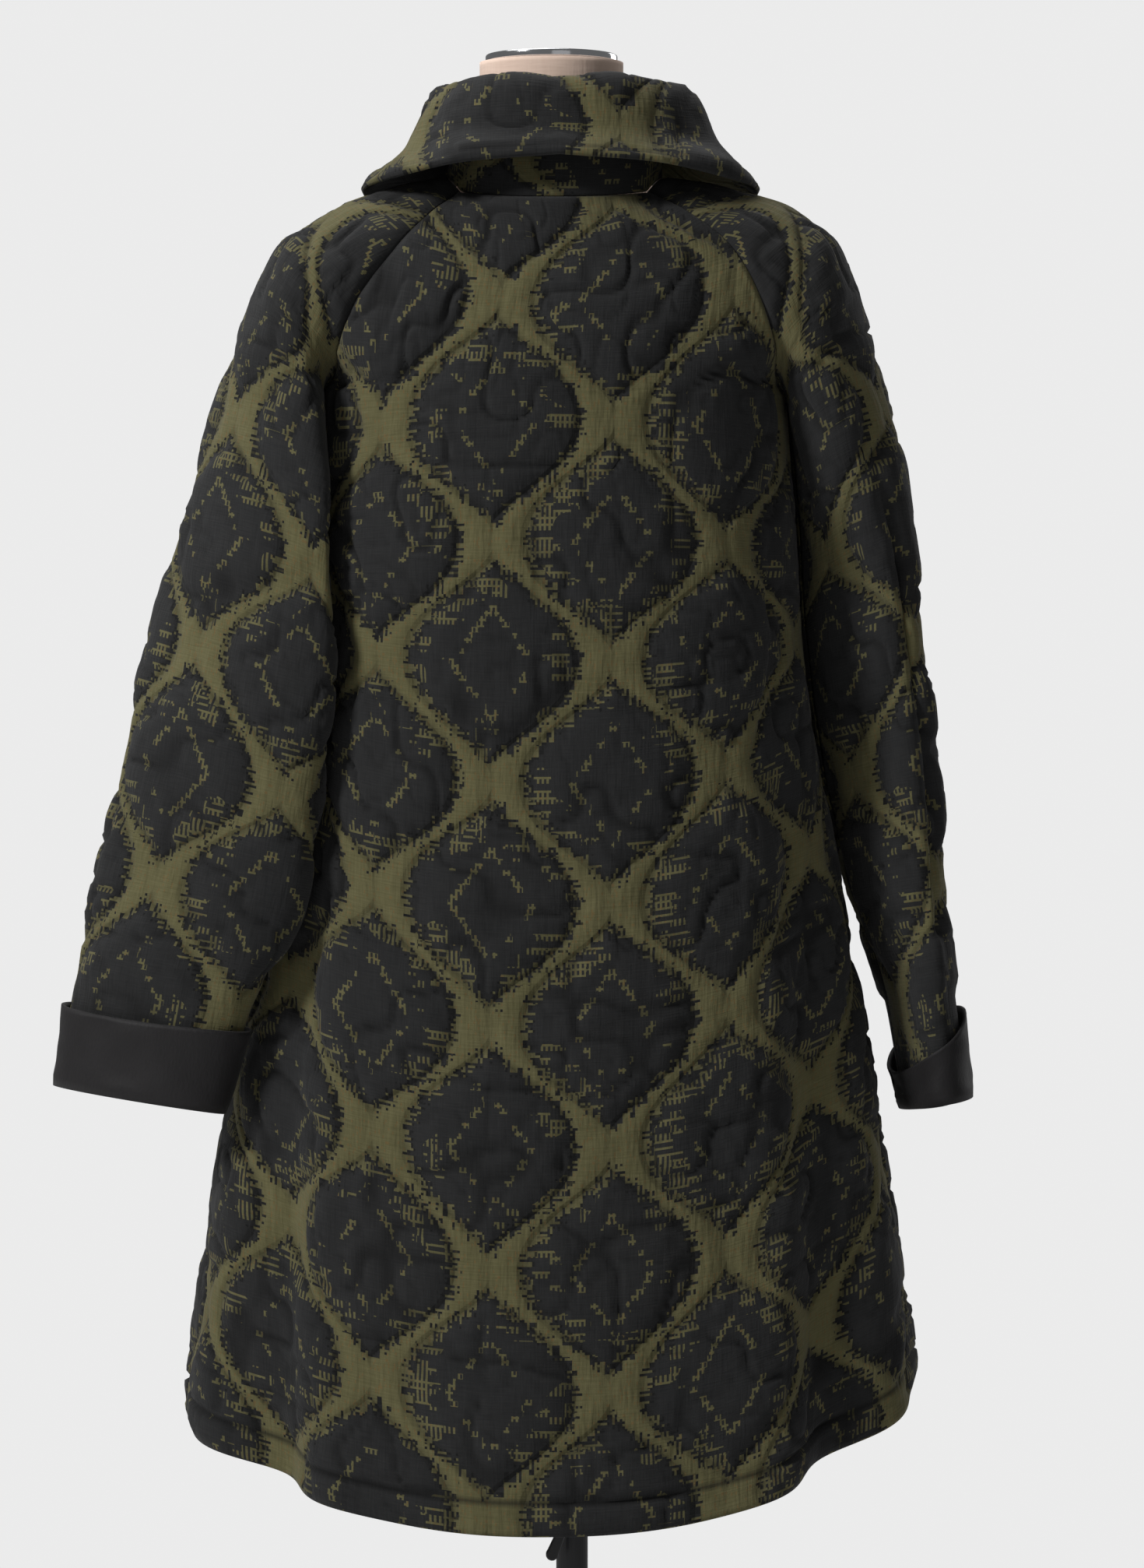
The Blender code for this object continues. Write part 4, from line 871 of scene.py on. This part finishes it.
def quilted_material():
    """Charcoal cloth with olive bands in ragged woven steps along the lattice, and small stepped diamonds."""
    n = Nodes("quilted_cloth_fine")
    cloth = n.value("ShaderNodeUVMap", uv_map="cloth")
    u, v = (n.value("ShaderNodeSeparateXYZ", axis, {0: cloth}) for axis in "XY")

    def cell(value, size):
        return n.math("FLOOR", value / size)

    def chance(width, height):
        """A random number from 0 to 1 for each cell of this size."""
        return n.white(cell(u, width), cell(v, height))

    def near(value, period):
        """Distance to the nearest multiple of the period."""
        return n.size(n.math("FLOORED_MODULO", value + period / 2, period) - period / 2)

    def beyond_band(at_u, at_v):
        """Distance from the woven band's edge, less than nothing on the band."""
        wave = n.math("COSINE", at_v * (2 * math.pi / CELL_HEIGHT))
        swing = wave * LINE_SWING
        even = near(at_u - swing, CELL_WIDTH)
        odd = near(at_u - CELL_WIDTH / 2 + swing, CELL_WIDTH)
        return n.least(even, odd) - (wave * wave * (BAND_BROAD - BAND_NARROW) + BAND_NARROW)

    woven_u, woven_v = (cell(place, TOOTH) * TOOTH for place in (u, v))
    ragged_u = woven_u + (chance(TOOTH_RUN[0], TOOTH) - 0.5) * TOOTH_REACH[0]
    ragged_v = woven_v + (chance(TOOTH, TOOTH_RUN[1]) - 0.5) * TOOTH_REACH[1]
    inside = beyond_band(ragged_u, ragged_v)
    even_inside = beyond_band(u, v)
    band = inside < 0.0

    def diamonds(shift_u, shift_v):
        """Nothing in the middle of each diamond and one on its edge, in woven steps."""
        du = near(woven_u - shift_u, CELL_WIDTH)
        dv = near(cell(v, DIAMOND_STEP) * DIAMOND_STEP - shift_v, CELL_HEIGHT)
        return du / DIAMOND[0] + dv / DIAMOND[1]

    diamond = n.least(diamonds(CELL_WIDTH / 4, CELL_HEIGHT / 2), diamonds(CELL_WIDTH * 3 / 4, 0.0))
    # A dash fills this share of its pitch, and a chance above the given one lets it show.
    rung = n.math("FRACT", u / RUNG_PITCH) < 0.5
    thin = n.math("FRACT", v / DASH_PITCH) < 0.34
    ring = (diamond < 1.0) * (diamond > DIAMOND_INSIDE) * (chance(0.01, DIAMOND_STEP) > 0.45)
    ring = ring * n.most(rung, thin)
    ladder = chance(LADDER_RUN, DASH_PITCH) > 0.56
    dash = chance(DASH_RUN, DASH_PITCH) > 0.62
    clump = n.cloud(cloth, 26.0, 0.0) > 0.5
    flecks = n.most(ladder * rung, dash * thin) * clump * (inside < FLECK_REACH)

    streak = n.cloud(cloth, 60.0, 2.0, (12.0, 1.0, 1.0))
    rib = n.cloud(cloth, 60.0, 1.0, (3.6, 0.7, 1.0))
    broad = n.cloud(cloth, 14.0, 1.0)
    cross = n.cloud(cloth, 60.0, 1.0, (0.9, 14.0, 1.0))
    tone = (streak * 0.25 + cross * 0.45 + broad * 0.3 - 0.3) * 2.5
    tone = n.least(n.most(tone, 0.0), 1.0)
    rust = chance(*RUST_THREAD) > 0.93
    olive = n.mix(rust * 0.6, n.mix(tone, *OLIVE), RUST)
    colour = n.mix(n.most(band, n.most(ring, flecks)), n.mix(tone, *CHARCOAL), olive)

    # painted shade in the tucks, dimples and stitched lines, read from the mesh's attribute
    painted_groove_shade = n.value("ShaderNodeAttribute", "Fac", attribute_name="painted_groove_shade")
    colour = n.mix(painted_groove_shade * TUCK_SHADE, colour, PAINTED_TUCK_BLACK)
    # painted shade: the cloth darkens beside each sunk quilting line, less on the band
    painted_valley_shade = 1.0 - n.least(n.size(even_inside - SUNK_SHADE[0]) / SUNK_SHADE[1], 1.0)
    colour = n.mix(painted_valley_shade * painted_valley_shade * (0.62 - band * 0.25), colour, PAINTED_VALLEY_BLACK)
    # painted shade in the stitched groove along each band's ragged edge; the bump below also sinks this line
    line = n.size(inside - LINE_SHADE[0]) < LINE_SHADE[1]
    colour = n.mix(line * 0.75, colour, PAINTED_GROOVE_BLACK)

    pillow = n.least(n.size(even_inside) / 0.005, 1.0)
    height = (streak + cross) * 0.3 + rib * (band * 0.5 + 0.4) + pillow * 0.9 - line * 0.8
    n.bump(height, 0.75, 0.0018)
    return n.finish(colour, broad * 0.12 + 0.86, specular=0.18, sheen=0.06)


def lining_material():
    """Smooth black lining: a fine twill with soft wear."""
    n = Nodes("lining_fine")
    cloth = n.value("ShaderNodeUVMap", uv_map="cloth")
    streak = n.cloud(cloth, 90.0, 3.0, (6.0, 1.0, 1.0))
    broad = n.cloud(cloth, 22.0, 3.0)
    twill = n.cloud(cloth, 500.0, 1.0, (1.0, 0.4, 1.0))
    n.bump(twill * 0.4 + broad * 1.6, 0.35, 0.0018)
    return n.finish(n.mix(broad, *LINING), streak * 0.16 + 0.58, specular=0.35, sheen=0.05)


def linen_material():
    """Pink-beige linen with its uneven threads."""
    n = Nodes("linen_fine")
    place = n.value("ShaderNodeTexCoord", "Object")
    warp = n.cloud(place, 300.0, 2.0, (1.0, 1.0, 0.12))
    weft = n.cloud(place, 300.0, 2.0, (0.12, 0.12, 1.0))
    broad = n.cloud(place, 9.0, 2.0)
    thread = (warp + weft) * 0.5
    n.bump(thread, 0.5, 0.001)
    return n.finish(n.mix(thread * 0.7 + broad * 0.3, *LINEN), broad * 0.15 + 0.78, specular=0.25, sheen=0.1)


def metal_material(name, dark, light, rough, grain_scale, metallic):
    """A metal or coated finish with a fine grain in roughness and relief, and soft wear in its colour."""
    n = Nodes(name)
    place = n.value("ShaderNodeTexCoord", "Object")
    fine = n.cloud(place, grain_scale, 3.0)
    wear = n.cloud(place, 22.0, 3.0)
    n.bump(fine, 0.1, 0.0004)
    return n.finish(n.mix(wear, dark, light), fine * 0.1 + rough, metallic=metallic)


# ------------------------ pieces


def grid_quads(number):
    """Faces of a grid of vertex numbers, row by row."""
    corners = (number[:-1, :-1], number[1:, :-1], number[1:, 1:], number[:-1, 1:])
    return np.stack(corners, axis=-1).reshape(-1, 4)


def ring_quads(rows, columns):
    """The same where each row closes to a ring."""
    number = np.arange(rows * columns).reshape(rows, columns)
    return grid_quads(np.concatenate((number, number[:, :1]), axis=1)).tolist()


def add(name, data):
    made = bpy.data.objects.new(name, data)
    bpy.context.scene.collection.objects.link(made)
    return made


def add_piece(name, node, looks, vertices, faces, flat=0):
    """A smooth mesh, flat in its last few faces, that shows in place of a solid and rides on its body."""
    mesh = bpy.data.meshes.new(name)
    mesh.from_pydata(vertices, [], faces)
    mesh.polygons.foreach_set("use_smooth", [place < len(faces) - flat for place in range(len(faces))])
    for look in looks:
        mesh.materials.append(look)
    piece = add(name, mesh)
    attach(piece, BODY)
    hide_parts(node)
    return piece


def cloth_wall(node, looks, outer, inner, across, along, out, painted_groove_shade=0.0):
    """A closed wall between two grids, with a look for each side and the place on the flat cloth as its map."""
    rows, columns = outer.shape[:2]
    count = rows * columns
    number = np.arange(count).reshape(rows, columns)
    quads = grid_quads(number)
    rim = np.concatenate((number[:, 0], number[-1, 1:], number[-2::-1, -1], number[0, -2:0:-1]))
    following = np.roll(rim, -1)
    edge = np.stack((following, rim, rim + count, following + count), axis=-1)
    faces = np.concatenate((quads, quads[:, ::-1] + count, edge))
    if out < 0:
        faces = faces[:, ::-1]
    vertices = np.concatenate((outer.reshape(-1, 3), inner.reshape(-1, 3)))
    piece = add_piece(node + "_cloth", node, looks, vertices.tolist(), faces.tolist())
    mesh = piece.data
    sides = np.repeat(np.array([0, 1, 0], dtype=np.int32), (len(quads), len(quads), len(edge)))
    mesh.polygons.foreach_set("material_index", sides)
    flat = np.stack((across, along), axis=-1).reshape(-1, 2)
    corners = np.concatenate((flat, flat))[faces.reshape(-1)].astype(np.float32)
    mesh.uv_layers.new(name="cloth").data.foreach_set("uv", corners.reshape(-1))
    # the outer side carries the painted shade of its tucks and stitched lines; the inner side carries none
    tucks = np.zeros((2, rows, columns), dtype=np.float32)
    tucks[0] = painted_groove_shade
    mesh.attributes.new("painted_groove_shade", "FLOAT", "POINT").data.foreach_set("value", tucks.reshape(-1))
    mesh.update()
    return piece


def build_panels(looks):
    panels = coat_panels()
    for name, panel in panels.items():
        across, along = grain(panel["places"], panel["zero"])
        relief = sink_under_lap(panel, across) if name == "front_left" else 1.0
        places, normals, down = panel["places"], panel["normals"], panel["down"]
        edges = edge_distance(places)
        to_end = along[-1:] - along
        height, painted_groove_shade = quilt_relief(across, along)
        _, roll = edge_line(edges, *SEAM_ROLL)
        height = (height - SUNK_LINE) * smooth_step(edges / SEAM_FADE) + roll
        first, full, wane, last = ARMPIT_SPAN
        armpit = smooth_step((down - first) / (full - first)) * (1 - smooth_step((down - wane) / (last - wane)))
        armpit = armpit * (1 - smooth_step(edges / ARMPIT_WIDTH))
        if name.startswith("sleeve"):
            first, last = SHOULDER_SPAN
            height = height * (1 - armpit) * smooth_step((to_end - CUFF_PLAIN) / CUFF_FADE)
            grown = smooth_step((down - first) / (last - first))
            height = height * (SHOULDER_PUFF + (1 - SHOULDER_PUFF) * grown)
        else:
            stitched, dent = edge_line(to_end, *HEM_STITCH)
            height = (height * (1 - HEM_PRESS * stitched) - dent) * (1 - armpit)
            height = height + ARMPIT_FILL * armpit * smooth_step(edges / SEAM_FADE)
            # painted shade in the hem's stitched line
            painted_groove_shade = np.maximum(painted_groove_shade, HEM_SHADE * stitched)
        height = height * relief - crease_depth(name, places) * smooth_step(edges / CREASE_FADE)
        edged = inset(places, normals, SEAM_GAP / 2)
        outer = edged + normals * height[..., None]
        inner = edged - normals * np.maximum(WALL, LEAST_WALL - height)[..., None]
        sides = (looks["quilted"], looks["lining"])
        piece = cloth_wall(name, sides, outer, inner, across, along, panel["out"], painted_groove_shade)
    return panels


def build_collar(looks):
    places = collar_grid(COLLAR_COLUMNS + 1, COLLAR_ROWS + 1)
    normals = unit(grid_normals(places))
    across, along = grain(places, COLLAR_COLUMNS // 2)
    edges = edge_distance(places)
    lumps = noise(across, along, *COLLAR_NOISE)
    along = along + CELL_HEIGHT / 4
    height, painted_groove_shade = quilt_relief(across, along)
    height = height * COLLAR_PUFF + lumps
    _, roll = edge_line(edges, *COLLAR_ROLL)
    stitched, dent = edge_line(edges, *COLLAR_STITCH)
    height = height * smooth_step(edges / SEAM_FADE) + roll - dent
    # painted shade in the collar's stitched line
    painted_groove_shade = np.maximum(painted_groove_shade, stitched)
    height = height - crease_depth("collar", places) * smooth_step(edges / COLLAR_CREASE_FADE)
    share = np.linspace(0, 1, COLLAR_ROWS + 1)[:, None]
    first, last = COLLAR_KNOTS[2], COLLAR_KNOTS[4]
    turned = smooth_step((share - first) / (last - first))
    outer = places + normals * (COLLAR_WALL + height * turned)[..., None]
    sides = (looks["quilted"], looks["quilted"])
    piece = cloth_wall("collar", sides, outer, places, across, along, 1, painted_groove_shade)


def build_cuffs(looks, panels):
    for side in ("left", "right"):
        sleeve = panels["sleeve_" + side]
        outer, inner = cuff_grids(side, sleeve)
        across, along = grain(outer, outer.shape[1] // 2)
        wrinkle = np.clip(sum(noise(across, along, *terms) for terms in CUFF_NOISES), *CUFF_WRINKLE)
        row = np.arange(outer.shape[0])[:, None]
        last = outer.shape[0] - 1
        spread = smooth_step((row - CUFF_TURN_ROWS) / 3) * smooth_step((last - row) / 3 + CUFF_TOP_WRINKLE)
        outer = outer + unit(outer - inner) * (wrinkle * spread)[..., None]
        sides = (looks["lining"], looks["lining"])
        piece = cloth_wall("cuff_" + side, sides, outer, inner, across, along, -sleeve["out"])


def build_form(looks):
    """The torso and neck in smooth linen, with its rings joined by a smooth curve."""
    stations = np.linspace(0, len(FORM.stations) - 1, FORM_ROWS)
    angle = np.linspace(0, 2 * math.pi, FORM_COLUMNS, endpoint=False)
    sine, cosine = np.sin(angle)[None, :], np.cos(angle)[None, :]
    read = {name: FORM.read(name, stations)[:, None] for name in FORM.names[1:]}
    depth = np.where(cosine > 0, read["back"], read["front"])
    height = np.where(cosine > 0, read["z_back"], read["z_front"])
    z = read["z_side"] + (height - read["z_side"]) * cosine ** 2
    rings = point(read["middle"] + read["half"] * sine, -depth * cosine, z)
    quads = ring_quads(FORM_ROWS, FORM_COLUMNS)
    top = list(range(FORM_COLUMNS))
    bottom = [(FORM_ROWS - 1) * FORM_COLUMNS + column for column in reversed(top)]
    add_piece("form_linen", "dress_form", [looks["linen"]], rings.reshape(-1, 3).tolist(),
              quads + [top, bottom], flat=2)


def build_cap(looks):
    """The thin bright cap on the neck, turned with rounded rims."""
    low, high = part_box("neck_cap")
    middle = (np.array(low) + np.array(high)) / 2
    radius = (high[0] - low[0]) / 2
    profile = [(0.0, low[2])]
    for start, height in ((-math.pi / 2, low[2] + CAP_RIM), (0.0, high[2] - CAP_RIM)):
        for a in np.linspace(start, start + math.pi / 2, 5):
            profile.append((radius - CAP_RIM + CAP_RIM * math.cos(a), height + CAP_RIM * math.sin(a)))
    profile += [(radius * share, high[2] - drop) for share, drop in CAP_DISH]
    turns = np.linspace(0, 2 * math.pi, CAP_COLUMNS, endpoint=False)
    vertices = [(middle[0] + r * math.cos(turn), middle[1] + r * math.sin(turn), z)
                for r, z in profile for turn in turns]
    quads = [quad[::-1] for quad in ring_quads(len(profile), CAP_COLUMNS)]
    piece = add_piece("neck_cap_bright", "neck_cap", [looks["chrome"]], vertices, quads)
    bm = bmesh.new()
    bm.from_mesh(piece.data)
    bmesh.ops.remove_doubles(bm, verts=bm.verts, dist=1e-6)
    bm.to_mesh(piece.data)
    bm.free()


def finish_hard_pieces(looks):
    """The solids that stay as they are get their finish."""
    for name, look in (("pole_inner", "steel"), ("pole_outer", "black"), ("clamp_collar", "black"),
                       ("clamp_lever", "black"), ("base", "black")):
        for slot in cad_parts[name].material_slots:
            slot.material = looks[look]


# ------------------------ stage


FLOOR = (-3.0, 3.0, -4.5, 2.4)  # its ends in x and y
FLOOR_TONES = (0.74, 0.74, 0.74), (0.8, 0.8, 0.8)
BACKDROP = 0.833  # what the camera sees round the floor
AMBIENT = 0.15  # and what lights the pieces from all round
LIGHTS = (
    ("key", (-3.5, -2.45, 3.6), 1.0, 170.0),
    ("front_fill", (1.4, -4.6, 1.6), 2.6, 5.0),
    ("top", (-0.6, 0.6, 3.6), 1.6, 34.0),
    ("far_side", (2.6, 3.2, 2.2), 2.0, 26.0),
)
AIM = (0.0, 0.0, 0.95)
CAMERA_DISTANCE = 5.0
CAMERA_HEIGHT = 0.975
VIEW_HEIGHT = 1.2225  # height of the photographed field at the pole
SENSOR = 36.0


def build_stage():
    left, right, near, far = FLOOR
    mesh = bpy.data.meshes.new("floor")
    mesh.from_pydata([(left, near, 0.0), (right, near, 0.0), (right, far, 0.0), (left, far, 0.0)], [],
                     [(0, 1, 2, 3)])
    n = Nodes("pale_floor")
    tone = n.cloud(n.value("ShaderNodeTexCoord", "Object"), 1.5)
    mesh.materials.append(n.finish(n.mix(tone, *FLOOR_TONES), 0.9))
    floor = add("floor", mesh)

    world = bpy.data.worlds.new("studio")
    bpy.context.scene.world = world
    world.use_nodes = True
    nodes, links = world.node_tree.nodes, world.node_tree.links
    ambient, seen = nodes["Background"], nodes.new("ShaderNodeBackground")
    for light, tone, strength in ((ambient, 1.0, AMBIENT), (seen, BACKDROP, 1.0)):
        light.inputs[0].default_value = (tone, tone, tone, 1.0)
        light.inputs[1].default_value = strength
    both = nodes.new("ShaderNodeMixShader")
    links.new(nodes.new("ShaderNodeLightPath").outputs["Is Camera Ray"], both.inputs[0])
    links.new(ambient.outputs[0], both.inputs[1])
    links.new(seen.outputs[0], both.inputs[2])
    links.new(both.outputs[0], nodes["World Output"].inputs["Surface"])


def build_lights():
    for name, place, size, power in LIGHTS:
        lamp = bpy.data.lights.new(name, "AREA")
        lamp.size = size
        lamp.energy = power
        holder = add(name, lamp)
        holder.location = place
        towards = np.array(AIM) - np.array(place)
        holder.rotation_euler = (
            math.atan2(math.hypot(towards[0], towards[1]), -towards[2]), 0.0,
            math.atan2(towards[1], towards[0]) - math.pi / 2,
        )


def build_camera():
    data = bpy.data.cameras.new("camera")
    data.sensor_width = SENSOR
    data.lens = SENSOR * CAMERA_DISTANCE / VIEW_HEIGHT
    camera = add("camera", data)
    camera.location = (0.0, -CAMERA_DISTANCE, CAMERA_HEIGHT)
    camera.rotation_euler = (math.pi / 2, 0.0, 0.0)
    bpy.context.scene.camera = camera


def main():
    build_camera()
    build_stage()
    build_lights()
    bpy.context.scene.view_settings.view_transform = "Standard"
    looks = {"quilted": quilted_material(), "lining": lining_material(), "linen": linen_material()}
    looks.update((look, metal_material(*finish)) for look, finish in METALS.items())
    build_form(looks)
    panels = build_panels(looks)
    build_collar(looks)
    build_cuffs(looks, panels)
    build_cap(looks)
    finish_hard_pieces(looks)


main()
